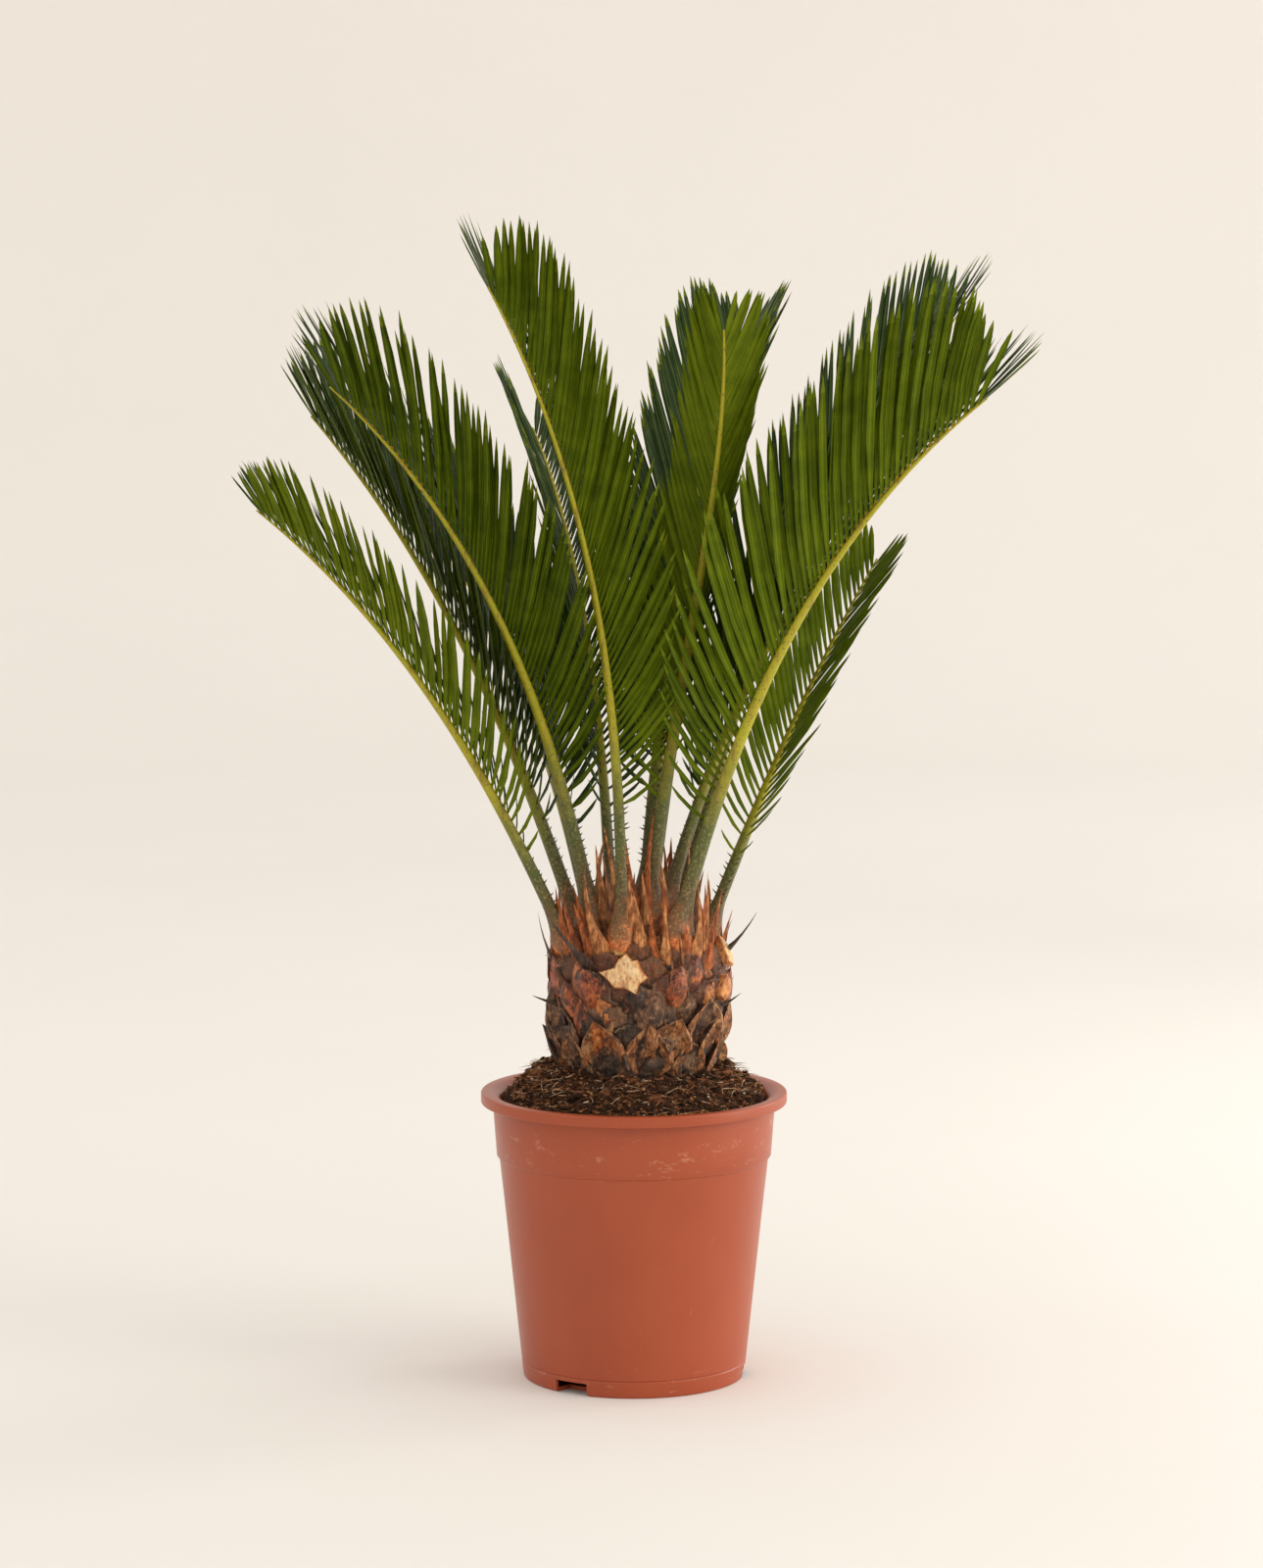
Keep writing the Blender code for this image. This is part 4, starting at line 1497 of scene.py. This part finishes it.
    def rib_radius(self, frond: Frond, share: float) -> float:
        """Works out how thick the rib is.

        Args:
            frond: the frond's measures.
            share: the share of the rib's length.

        Returns:
            The rib's radius there.
        """
        if share < self.flare_end:
            return frond.stalk * (self.flare + (1.0 - self.flare) * max(share, 0.0) / self.flare_end)
        if share < self.blade_start:
            up = (share - self.flare_end) / (self.blade_start - self.flare_end)
            return frond.stalk * (1.0 - self.thinning * up)
        left = (1.0 - share) / (1.0 - self.blade_start)
        return self.tip_radius + (frond.stalk * (1.0 - self.thinning) - self.tip_radius) * left**self.taper

    def axes(self, frond: Frond, share: float) -> tuple[Vector, Vector, Vector]:
        """Works out how the blade lies.

        Args:
            frond: the frond's measures.
            share: the share of the rib's length.

        Returns:
            The rib's direction, its blade's side and its blade's upper side.
        """
        tangent = self.direction(frond, share)
        heading = math.radians(frond.heading + frond.sweep * share)
        side = Vector((math.sin(heading), -math.cos(heading), 0.0))
        upper = side.cross(tangent)
        roll = math.radians(frond.roll)
        upper = math.cos(roll) * upper + math.sin(roll) * side
        return tangent, tangent.cross(upper), upper

    def leaflet_angle(self, frond: Frond, place: float) -> float:
        """Returns the angle between a leaflet and the rib, in radians, at its place along the blade."""
        opened = self.tip_angle * frond.spread + self.opening * (1.0 - place) ** self.angle_power
        return opened * min(1.0, self.closed_share + (1.0 - place) / self.closing_span)

    def leaflet_length(self, frond: Frond, place: float) -> float:
        """Works out how long a leaflet is.

        Args:
            frond: the frond's measures.
            place: the leaflet's place along the blade, from 0 to 1.

        Returns:
            The leaflet's length.
        """
        reach = math.sin(math.pi / 2.0 * min(place / self.full_length_at, 1.0))
        rise = self.foot_length_share + (1.0 - self.foot_length_share) * reach
        late = max(0.0, (place - self.shortening_from) / (1.0 - self.shortening_from))
        return frond.leaflet * rise * (1.0 - self.shortening * late**2)

    def rib(self, frond: Frond, skin: Material) -> Piece:
        """Makes the rib and stalk as one swept tube.

        Args:
            frond: the frond's measures.
            skin: the stalk's material.

        Returns:
            The rib.
        """
        line = self.line(frond)
        shape = bmesh.new()
        sides = self.rib_sides
        bmesh.ops.create_cone(shape, cap_ends=True, segments=sides, radius1=1.0, radius2=1.0, depth=1.0)
        long_edges = [edge for edge in shape.edges if abs(edge.verts[0].co.z - edge.verts[1].co.z) > 0.5]
        bmesh.ops.subdivide_edges(shape, edges=long_edges, cuts=self.rib_cuts, use_grid_fill=True)
        layer = shape.verts.layers.float.new("way_up")
        start = -self.rib_sink / frond.length
        for vert in shape.verts:
            share = start + (1.0 - start) * (vert.co.z + 0.5) ** self.foot_crowding
            tangent, side, upper = self.axes(frond, max(share, 0.0))
            radius = self.rib_radius(frond, share)
            swollen = self.swell * max(0.0, 1.0 - max(share, 0.0) / self.swell_end) ** 2
            closing = min(1.0, (share - start) * frond.length / self.foot_round + 0.02)
            rounded = math.sqrt(closing * (2.0 - closing))
            wide = radius * (self.rib_wide + swollen) * rounded
            thick = radius * (self.rib_thick + self.swell_thick * swollen) * rounded
            thick *= 1.0 if vert.co.y < 0.0 else self.rib_flat
            offset = side * (vert.co.x * wide) + upper * (vert.co.y * thick)
            away = Vector((frond.seat[0] - self.trunk.centre.x, frond.seat[1], 0.0))
            moved = max(0.0, min(self.foot_out, self.foot_reach - away.length))
            shift = moved * max(0.0, 1.0 - (share - start) / self.foot_out_end) ** 1.5
            vert.co = self.place(frond, line, share) + offset + away.normalized() * shift
            vert[layer] = share
        bmesh.ops.recalc_face_normals(shape, faces=shape.faces)
        return solid_of(f"rib_{frond.number:02d}", shape, [skin], 50.0)

    def thorns(self, frond: Frond, bunch: Bunch, luck: random.Random) -> None:
        """Adds the thorns on both edges of a frond's lower stalk.

        Args:
            frond: the frond's measures.
            bunch: the joined thorns so far.
            luck: the seeded random numbers.
        """
        line = self.line(frond)
        count = int((self.blade_start - self.thorn_free) * frond.length / self.thorn_pace)
        span = self.blade_start - self.thorn_stop
        for index in range(count):
            for sign in (-1.0, 1.0):
                share = self.thorn_first + span * (index + pick(luck, *self.thorn_jitter)) / count
                tangent, side, upper = self.axes(frond, share)
                out = (side * sign * self.thorn_aside + upper * self.thorn_up).normalized()
                foot = self.place(frond, line, share) + out * self.rib_radius(frond, share) * self.thorn_root
                along = (out + tangent * pick(luck, *self.thorn_lean)).normalized()
                length = pick(luck, *self.thorn_length)
                bend = tangent * self.thorn_bend
                half = self.thorn_half
                bunch.add(*self.thorn_shape.grow(foot, along, tangent, length, half, bend, 0.0, (0, 1)))

    def leaflets(self, frond: Frond, skins: list[Material], luck: random.Random) -> Piece:
        """Makes both rows of leaflets of a frond.

        Args:
            frond: the frond's measures.
            skins: upper, its variant, lower, its variant, upper and lower midrib, joint, dry skin, and the
                painted shade lines along the edges and in the grooves of the lower face.
            luck: the seeded random numbers.

        Returns:
            The joined leaflets.
        """
        line = self.line(frond)
        bunch = Bunch()
        tip = 2 * len(self.leaflet_shape.sides)
        span = self.blade_end - self.blade_start
        count = round(span * frond.length / self.pace * min(1.0, frond.fullness + 0.15))
        for index in range(count):
            if index % 2 and index / count < self.sparse_end:
                continue
            for sign in (-1.0, 1.0):
                place = (index + 0.5 + pick(luck, -0.1, 0.1)) / count
                share = self.blade_start + span * place
                tangent, side, upper = self.axes(frond, share)
                keel = self.keel + math.radians(luck.gauss(0.0, self.keel_jitter))
                out = side * (sign * math.cos(keel)) + upper * math.sin(keel)
                angle = self.leaflet_angle(frond, place) + math.radians(luck.gauss(0.0, self.angle_jitter))
                along = tangent * math.cos(angle) + out * math.sin(angle)
                length = self.leaflet_length(frond, place) * pick(luck, *self.length_change)
                normal = out.cross(tangent) * sign
                if normal.dot(upper) < 0.0:
                    normal = -normal
                pace = span * frond.length / count
                wide = min(self.most_width, max(self.least_width, self.fill * pace * math.sin(angle)))
                opened = min(1.0, place / self.full_width_at)
                wide *= (self.foot_width + (1.0 - self.foot_width) * opened) * frond.fullness
                normal = Matrix.Rotation(self.tilt * sign, 3, along) @ normal
                foot = self.place(frond, line, share) - along * self.rib_radius(frond, share) * self.root_sink
                curve = self.curve + self.foot_curve * max(0.0, 1.0 - place / self.foot_curve_end)
                bend = tangent * (curve * length) - normal * (length * pick(luck, 0.0, self.droop))
                variant = 1 if luck.random() < self.variant_share else 0
                deal = (variant, 4, 2 + variant, 5, 6, 5, 8)
                twist = math.radians(luck.gauss(0.0, self.twist_jitter))
                points, faces, slots = self.leaflet_shape.grow(
                    foot, along, normal, length, wide / 2.0, bend, twist, deal)
                if luck.random() < frond.dry * max(0.0, place - self.dry_from):
                    slots[-tip:] = [7] * tip
                bunch.add(points, faces, slots)
        return bunch.finish(f"leaflets_{frond.number:02d}", skins, 55.0)


@dataclass
class Foliage:
    """All the fronds with their skins."""

    maker: FrondMaker

    def skins(self, under: Under) -> list[Material]:
        """Returns the skins of a frond's leaflets.

        Args:
            under: the green of the frond's lower face.

        Returns:
            The materials in the order that the leaflets want.
        """
        # The greens differ from frond to frond; the LIT and PALE rows are partly painted light, lighter
        # copies that stand in for light on fronds which face away from the lamps.
        greens = {
            Under.BRIGHT: ((74, 91, 0), (92, 107, 4), (64, 79, 0), (83, 98, 4), (50, 65, 0)),
            Under.OLIVE: ((60, 77, 0), (80, 95, 6), (54, 69, 0), (72, 87, 4), (42, 55, 0)),
            Under.DEEP: ((48, 63, 4), (66, 82, 12), (42, 57, 6), (59, 74, 12), (32, 45, 4)),
            Under.LIT: ((84, 100, 2), (104, 118, 10), (74, 90, 2), (94, 108, 6), (54, 68, 0)),
            Under.PALE: ((90, 106, 6), (108, 122, 18), (78, 93, 4), (98, 112, 12), (60, 76, 0)),
        }[under]
        # Painted light: a LIT frond's upper faces are lighter and less glossy than the others', standing in
        # for light on a frond that faces away from the lamps.
        if under is Under.LIT:
            upper = (96, 116, 8), (120, 138, 18), 0.38, 0.07
            variant = (86, 104, 10), (108, 126, 18), 0.38, 0.07
        else:
            upper = (30, 50, 12), (48, 68, 22), 0.38, 0.15
            variant = (36, 56, 16), (56, 76, 30), 0.38, 0.15
        name = under.value
        return skins_of(
            LeafSkin,
            (f"{name}_upper", *upper),
            (f"{name}_upper_variant", *variant),
            (f"{name}_under", greens[0], greens[1], 0.5, 0.07),
            (f"{name}_under_variant", greens[2], greens[3], 0.5, 0.07),
            (f"{name}_upper_midrib", (84, 102, 42), (112, 126, 60), 0.4),
            (f"{name}_under_midrib", (88, 104, 4), (106, 120, 12), 0.46, 0.1),
            (f"{name}_joint", (112, 102, 12), (146, 124, 26), 0.5, 0.1),
            (f"{name}_dry_tip", (104, 78, 40), (150, 118, 70), 0.6),
            # Painted shade: a darker green for the strips along the leaflet's edges and in the grooves of its
            # lower face.
            (f"{name}_margin", greens[4], greens[2], 0.5, 0.07),
        )

    def make(self) -> None:
        """Makes each frond's leaflets and rib, and the thorns of all."""
        kits = {under: self.skins(under) for under in Under}
        stalk = StalkSkin("stalk").make()
        thorns = Bunch()
        for frond in FRONDS:
            luck = random.Random(100 + frond.number)
            blade = self.maker.leaflets(frond, kits[frond.under], luck)
            rib = self.maker.rib(frond, stalk)
            settle(blade, "fronds", frond.node)
            settle(rib, "fronds", frond.node)
            self.maker.thorns(frond, thorns, luck)
        skins = skins_of(
            DryLeaf,
            ("thorn_foot", (98, 80, 40), (140, 118, 66), 900.0, 0.5),
            ("thorn_tip", (52, 34, 18), (84, 58, 34), 900.0, 0.5),
        )
        settle(thorns.finish("stalk_thorns", skins, 50.0), "fronds")


@dataclass
class Pot:
    """The tapered plastic pot with its rolled lip, collar, step and three drain notches."""

    height: float = 0.179
    rim_radius: float = 0.095
    lip_height: float = 0.007
    lip_round: float = 0.0012
    collar_top: float = 0.0876
    collar_foot: float = 0.0853
    collar_height: float = 0.139
    step_width: float = 0.0018
    foot_radius: float = 0.069
    foot_round: float = 0.0015
    crease_height: float = 0.0105
    crease_depth: float = 0.0006
    wall: float = 0.0018
    floor: float = 0.0025
    drain_first: float = -124.0
    drain_columns: int = 10
    drain_height: float = 0.008
    drain_reach: float = 0.012
    steps: int = 192

    def bore(self, height: float) -> float:
        """Returns the radius of the pot's inside at a height."""
        share = min(1.0, height / (self.height - self.lip_height))
        return self.foot_radius + (self.collar_foot - self.step_width - self.foot_radius) * share - self.wall

    def body(self, height: float) -> float:
        """Returns the radius of the outside below the collar at a height."""
        rise = self.collar_foot - self.step_width - self.foot_radius
        return self.foot_radius + rise * height / self.collar_height

    def round(self, radius: float, height: float, size: float, start: float) -> list[Pair]:
        """Returns a quarter round of the outline, clockwise from a start angle in degrees."""
        turns = [math.radians(start - 90.0 * index / 6.0) for index in range(7)]
        return [(radius + size * math.cos(turn), height + size * math.sin(turn)) for turn in turns]

    def outline(self) -> list[Pair]:
        """Draws the wall from the floor's middle inside, over the lip and down to its middle below.

        Returns:
            The radius and height of each point.
        """
        under_lip = self.height - self.lip_height
        crease = self.body(self.crease_height)
        step = self.collar_foot - self.step_width
        drain = self.foot_radius - self.drain_reach
        inner_lip = self.bore(under_lip) + self.wall
        points = [(0.0, self.floor), (drain, self.floor), (self.bore(self.floor), self.floor)]
        points += [(self.bore(level), level) for level in (self.drain_height, 0.06, 0.12, under_lip)]
        points += [(inner_lip - 0.0010, self.height - 0.0048), (inner_lip - 0.0002, self.height - 0.0034)]
        points += [(inner_lip + 0.0016, self.height - 0.0020), (inner_lip + 0.0036, self.height - 0.0008)]
        points += [(inner_lip + 0.0052, self.height - 0.0002), (inner_lip + 0.0066, self.height)]
        rim = self.rim_radius - self.lip_round
        points += self.round(rim, self.height - self.lip_round, self.lip_round, 90.0)
        points += self.round(rim, under_lip + self.lip_round, self.lip_round, 0.0)
        points += [(self.collar_top + 0.0006, under_lip), (self.collar_top, under_lip - 0.0008)]
        points += [(self.collar_top - 0.0012, 0.155), (self.collar_foot, self.collar_height + 0.0006)]
        points += [(self.collar_foot - 0.0004, self.collar_height)]
        points += [(step + 0.0002, self.collar_height - 0.0011), (step, self.collar_height - 0.0020)]
        points += [(self.body(level), level) for level in (0.10, 0.06, 0.03)]
        points += [(crease, self.crease_height + 0.0007), (crease - self.crease_depth, self.crease_height)]
        points += [(crease - 0.0001, self.crease_height - 0.0008)]
        points += [(self.body(self.drain_height), self.drain_height)]
        points += self.round(self.foot_radius - self.foot_round, self.foot_round, self.foot_round, 0.0)
        points += [(drain, 0.0), (0.0, 0.0)]
        return points

    def in_drain(self, face: bmesh.types.BMFace) -> bool:
        """Tells whether a face belongs to a drain notch.

        Args:
            face: a face of the turned pot.

        Returns:
            Whether it lies in one of the three notches.
        """
        middle = face.calc_center_median()
        radius = math.hypot(middle.x, middle.y)
        if middle.z > self.drain_height - 0.0002 or radius < self.foot_radius - self.drain_reach:
            return False
        turn = (math.degrees(math.atan2(middle.y, middle.x)) - self.drain_first) % 120.0
        reach = self.drain_columns / 2.0 * 360.0 / self.steps
        return turn < reach or turn > 120.0 - reach

    def make(self) -> Piece:
        """Turns the pot and opens its drain notches.

        Returns:
            The pot.
        """
        first = math.radians(self.drain_first - self.drain_columns / 2.0 * 360.0 / self.steps)
        shape = turned(self.outline(), self.steps, first)
        drains = [face for face in shape.faces if self.in_drain(face)]
        bmesh.ops.delete(shape, geom=drains, context="FACES")
        for index in range(3):
            heading, _ = compass(math.radians(self.drain_first + 120.0 * index))
            open_edges = [edge for edge in shape.edges if edge.is_boundary]
            rim = [edge for edge in open_edges if edge.verts[0].co.xy.to_3d().normalized().dot(heading) > 0.9]
            bmesh.ops.bridge_loops(shape, edges=rim)
        bmesh.ops.recalc_face_normals(shape, faces=shape.faces)
        return solid_of("pot_shell", shape, [PotSkin("terracotta_plastic").make()], 30.0)


@dataclass
class Compost:
    """Loose compost that rises from the wall to the trunk, with crumbs, bark chips, roots and grit on it."""

    pot: Pot
    trunk: Trunk
    floor_gap: float = 0.0003
    notch_reach: float = 0.0135
    notch_height: float = 0.0095
    edge_height: float = 0.1752
    mound_height: float = 0.1938
    mound_radius: float = 0.0585
    dip: float = 0.001
    trunk_radius: float = 0.044
    wall_gap: float = 0.0015
    lumps: tuple[Pair, ...] = ((0.0068, 70.0), (0.0060, 160.0), (0.0034, 340.0))
    calm: float = 0.25
    calm_width: float = 0.006
    bumps: Pair = (0.72, 1.25)
    crumb_tilt: float = 0.7
    crumb_lift: float = 0.3
    root_length: Pair = (0.003, 0.014)
    root_half: Pair = (0.00010, 0.00030)
    root_rise: Pair = (-0.1, 0.22)
    root_bow: float = 0.5
    root_lift: float = 0.0004
    root_gap: float = 0.001
    rings: int = 84
    steps: int = 420
    crumb_count: int = 6400
    clod_count: int = 420
    chip_count: int = 1300
    root_count: int = 2300
    grit_count: int = 260

    root_shape = BladeShape(
        stations=(0.0, 0.25, 0.5, 0.75),
        widths=(1.0, 1.0, 0.9, 0.7),
        section=((-1.0, -0.6), (0.0, 1.0), (1.0, -0.6)),
        sides=(0, 0, 0),
    )

    @property
    def edge_radius(self) -> float:
        """The compost's radius where it meets the wall."""
        return self.pot.bore(self.edge_height) - self.floor_gap

    def top(self, x: float, y: float) -> float:
        """Works out the height of the lumpy surface, which is calmer by the wall.

        Args:
            x: the place to the right of the pot's middle.
            y: the place behind the pot's middle.

        Returns:
            The height above the floor.
        """
        radius = math.hypot(x, y)
        share = min(1.0, max(0.0, (self.edge_radius - radius) / (self.edge_radius - self.mound_radius)))
        height = self.edge_height + (self.mound_height - self.edge_height) * share
        height -= self.dip * math.sin(math.pi * share)
        place = Vector((x, y, 0.0))
        lumps = sum(depth * noise.noise(place * scale) for depth, scale in self.lumps)
        return height + lumps * min(1.0, max(self.calm, (self.edge_radius - radius) / self.calm_width))

    def body(self, skin: Material) -> Piece:
        """Makes the compost's body, which stands clear of the drain notches.

        Args:
            skin: its material.

        Returns:
            The closed body.
        """
        bottom = self.pot.floor + self.floor_gap
        inner = self.pot.bore(bottom) - self.notch_reach
        outline = [(0.0, bottom), (inner, bottom), (inner, self.notch_height)]
        outline += [(self.pot.bore(self.notch_height) - self.floor_gap, self.notch_height)]
        outline += [(self.pot.bore(level) - self.floor_gap, level) for level in (0.05, 0.09, 0.13)]
        outline += [(radius, 0.0) for radius in np.linspace(self.edge_radius, 0.0, self.rings).tolist()]
        shape = turned(outline, self.steps)
        for vert in shape.verts:
            if vert.co.z == 0.0:
                vert.co.z = self.top(vert.co.x, vert.co.y)
        bmesh.ops.recalc_face_normals(shape, faces=shape.faces)
        return solid_of("compost_body", shape, [skin], 80.0)

    def spot(self, luck: random.Random, lift: float) -> Vector:
        """Finds a random place on the surface between the trunk and the wall.

        Args:
            luck: the seeded random numbers.
            lift: how far above the surface it is.

        Returns:
            The place.
        """
        turn = pick(luck, 0.0, math.tau)
        inner = self.trunk_radius
        outer = self.edge_radius - self.wall_gap
        radius = math.sqrt(pick(luck, inner**2, outer**2))
        x = radius * math.cos(turn)
        y = radius * math.sin(turn)
        return Vector((x, y, self.top(x, y) + lift))

    def crumbs(self, luck: random.Random, skins: list[Material]) -> Piece:
        """Makes the crumbs, chips and grit.

        Args:
            luck: the seeded random numbers.
            skins: dark, brown, chip, grit and tan materials.

        Returns:
            The joined piece.
        """
        ball = bmesh.new()
        bmesh.ops.create_icosphere(ball, subdivisions=1, radius=1.0)
        points = np.array([vert.co[:] for vert in ball.verts])
        faces = [tuple(vert.index for vert in face.verts) for face in ball.faces]
        ball.free()
        bunch = Bunch()
        # Each kind: how many there are, their sizes, how flat they are and the tones they take.
        kinds = (
            (self.crumb_count, (0.0005, 0.0020), (1.0, 0.6, 0.5), (0, 0, 0, 1, 1, 4)),
            (self.clod_count, (0.0018, 0.0052), (1.0, 0.7, 0.5), (0, 0, 0, 1)),
            (self.chip_count, (0.0012, 0.0040), (1.0, 0.22, 0.16), (1, 2, 2)),
            (self.grit_count, (0.0005, 0.0010), (1.0, 0.9, 0.8), (3,)),
        )
        for count, sizes, squash, tones in kinds:
            for _ in range(count):
                size = sizes[0] + (sizes[1] - sizes[0]) * luck.random() ** 2
                bumps = np.array([[pick(luck, *self.bumps)] for _ in range(len(points))])
                lump = points * bumps * np.array(squash) * size
                turn = Matrix.Rotation(pick(luck, 0.0, math.tau), 3, "Z")
                tilt = Matrix.Rotation(pick(luck, -self.crumb_tilt, self.crumb_tilt), 3, "X")
                lump = lump @ np.array(tilt @ turn)
                tone = luck.choice(tones)
                lump = lump + np.array(self.spot(luck, size * squash[2] * self.crumb_lift))
                bunch.add(lump, faces, [tone] * len(faces))
        return bunch.finish("compost_crumbs", skins, 35.0)

    def roots(self, luck: random.Random) -> Piece:
        """Makes the thin fibres that lie on the surface and stick out of it.

        Args:
            luck: the seeded random numbers.

        Returns:
            The joined piece.
        """
        bunch = Bunch()
        for _ in range(self.root_count):
            length = pick(luck, *self.root_length)
            turn = pick(luck, 0.0, math.tau)
            along = Vector((math.cos(turn), math.sin(turn), pick(luck, *self.root_rise))).normalized()
            bows = [pick(luck, -self.root_bow, end) for end in (self.root_bow, self.root_bow, 0.0)]
            bend = Vector(bows) * length
            foot = self.spot(luck, self.root_lift)
            if (foot + along * length + bend).xy.length > self.edge_radius - self.root_gap:
                continue
            tone = luck.choice((0, 0, 1, 2))
            half = pick(luck, *self.root_half)
            up = Vector((0.0, 0.0, 1.0))
            bunch.add(*self.root_shape.grow(foot, along, up, length, half, bend, 0.0, (tone,)))
        skins = skins_of(
            DryLeaf,
            ("brown_root", (92, 54, 30), (146, 96, 60), 700.0, 0.8),
            ("rust_root", (132, 78, 44), (188, 126, 80), 700.0, 0.8),
            ("pale_root", (176, 144, 108), (232, 206, 170), 700.0, 0.8),
        )
        return bunch.finish("compost_roots", skins, 60.0)

    def make(self) -> None:
        """Makes the body and all that lies on it."""
        luck = random.Random(5)
        dark = CompostSkin("dark_compost").make()
        settle(self.body(dark), "soil", "soil")
        skins = [
            dark,
            CompostSkin("brown_compost", (66, 36, 18), (154, 98, 58), (214, 166, 116)).make(),
            DryLeaf("bark_chip", (112, 68, 40), (176, 126, 86), 600.0, 0.85).make(),
            DryLeaf("pale_grit", (190, 176, 156), (228, 216, 198), 600.0, 0.8).make(),
            CompostSkin("tan_crumb", (132, 84, 48), (212, 154, 102), (240, 200, 152)).make(),
        ]
        settle(self.crumbs(luck, skins), "soil", "soil")
        settle(self.roots(luck), "soil", "soil")


@dataclass
class Studio:
    """A round paper sweep, soft lights and the camera."""

    floor_radius: float = 3.6
    sweep_radius: float = 1.2
    wall_height: float = 1.9
    sweep_steps: int = 12
    sensor_height: float = 36.0
    lens: float = 104.9
    camera_place: Place = (-0.0015, -2.8, 0.678)
    camera_tilt: float = 0.1095
    steps: int = 96

    def sweep(self) -> Piece:
        """Makes the floor that turns up into a wall all round.

        Returns:
            The sweep, with its faces towards the plant.
        """
        outline = [(0.0, 0.0), (1.0, 0.0), (2.4, 0.0), (self.floor_radius, 0.0)]
        for index in range(1, self.sweep_steps + 1):
            turn = math.pi / 2.0 * index / self.sweep_steps
            out = self.floor_radius + self.sweep_radius * math.sin(turn)
            outline.append((out, self.sweep_radius * (1.0 - math.cos(turn))))
        outline.append((self.floor_radius + self.sweep_radius, self.wall_height))
        shape = turned(outline, self.steps)
        bmesh.ops.reverse_faces(shape, faces=shape.faces)
        return solid_of("studio_sweep", shape, [StudioPaper("cream_paper").make()], 60.0)

    def lamp(
        self, name: str, place: Place, aim: Place, size: float, power: float, colour: Rgb = WARM_WHITE
    ) -> None:
        """Hangs one soft square light.

        Args:
            name: the light's name.
            place: where it hangs.
            aim: the point that it faces.
            size: its side in metres.
            power: its power in watts.
            colour: its screen colour.
        """
        light = bpy.data.lights.new(name, "AREA")
        light.size = size
        light.energy = power
        light.color = paint(colour)[:3]
        holder = bpy.data.objects.new(name, light)
        holder.location = place
        holder.rotation_euler = (Vector(aim) - Vector(place)).to_track_quat("-Z", "Y").to_euler()
        bpy.context.scene.collection.objects.link(holder)

    def camera(self) -> None:
        """Sets the camera where the photograph was taken from."""
        camera = bpy.data.cameras.new("camera")
        camera.sensor_fit = "VERTICAL"
        camera.sensor_height = self.sensor_height
        camera.lens = self.lens
        holder = bpy.data.objects.new("camera", camera)
        holder.location = self.camera_place
        holder.rotation_euler = (math.pi / 2.0 - self.camera_tilt, 0.0, 0.0)
        bpy.context.scene.collection.objects.link(holder)
        bpy.context.scene.camera = holder

    def make(self) -> None:
        """Sets up the paper, the lights, the sky and the camera."""
        self.sweep()
        self.lamp("key_light", (2.3, -1.3, 1.5), (0.0, 0.0, 0.3), 1.05, 14.0)
        self.lamp("side_light", (1.9, -0.3, 0.4), (0.0, 0.0, 0.2), 0.7, 8.5)
        self.lamp("edge_light", (1.7, 0.9, 0.55), (0.0, 0.0, 0.15), 0.6, 8.0, (255, 248, 240))
        self.lamp("wall_wash", (1.6, 1.4, 1.6), (4.0, 4.2, 0.9), 1.4, 16.0, (255, 252, 248))
        world = bpy.data.worlds.new("studio_air")
        world.use_nodes = True
        air = world.node_tree.nodes["Background"]
        air.inputs["Color"].default_value = paint(WARM_WHITE)
        air.inputs["Strength"].default_value = 1.0
        bpy.context.scene.world = world
        bpy.context.scene.view_settings.view_transform = "Standard"
        self.camera()


def scars_of(trunk: Trunk) -> tuple[Scar, ...]:
    """Lays out the trunk's scars, each by its outline in millimetres along and up the bark.

    Args:
        trunk: the trunk that they are on.

    Returns:
        The three scars.
    """
    return (
        Scar(trunk, 1, -99.0, 0.2600, 0.0056, (
            (0.5, 12.5), (4.5, 8.5), (7.5, 9.0), (9.0, 4.5), (13.0, -1.5), (8.5, -5.0), (6.5, -11.5),
            (1.0, -8.0), (-5.0, -8.0), (-9.0, -3.0), (-14.5, 1.0), (-8.5, 3.0), (-5.5, 4.5), (-3.5, 9.0))),
        Scar(trunk, 2, -24.0, 0.2475, 0.0050, (
            (0.0, 8.0), (5.0, 4.0), (7.0, -1.0), (3.0, -6.5), (-2.0, -8.5), (-7.5, -4.0), (-6.0, 2.0))),
        Scar(trunk, 3, -13.0, 0.2680, 0.0054, (
            (1.0, 10.0), (5.0, 5.0), (6.0, -3.0), (2.0, -9.0), (-5.0, -6.0), (-6.0, 2.0), (-3.0, 7.0))),
    )


def main() -> None:
    """Builds the scene, one sub-assembly after the other."""
    logging.basicConfig(level=logging.INFO, format="%(message)s")
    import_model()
    Studio().make()
    trunk = Trunk(BarkTones())
    settle(trunk.make(), "trunk", "trunk")
    crown = Crown(trunk)
    settle(crown.scale_leaves(random.Random(21)), "trunk", "trunk")
    settle(crown.base_tips(random.Random(22)), "trunk", "trunk")
    cream, amber = skins_of(
        BaseSkin,
        ("cream_scar", (222, 166, 110), (246, 208, 154), (254, 228, 182), 0.6),
        ("amber_scar", (170, 92, 42), (222, 150, 84), (246, 200, 138), 0.55),
    )
    scars = scars_of(trunk)
    for scar in scars:
        settle(scar.make([cream if scar.number != 2 else amber, amber]), "trunk", "trunk")
    settle(LeafBases(trunk, scars=scars).make(random.Random(24)), "trunk", "trunk")
    settle(crown.felt(random.Random(23)), "trunk", "trunk")
    Foliage(FrondMaker(trunk)).make()
    pot = Pot()
    settle(pot.make(), "pot", "pot")
    Compost(pot, trunk).make()


if __name__ == "__main__":
    main()
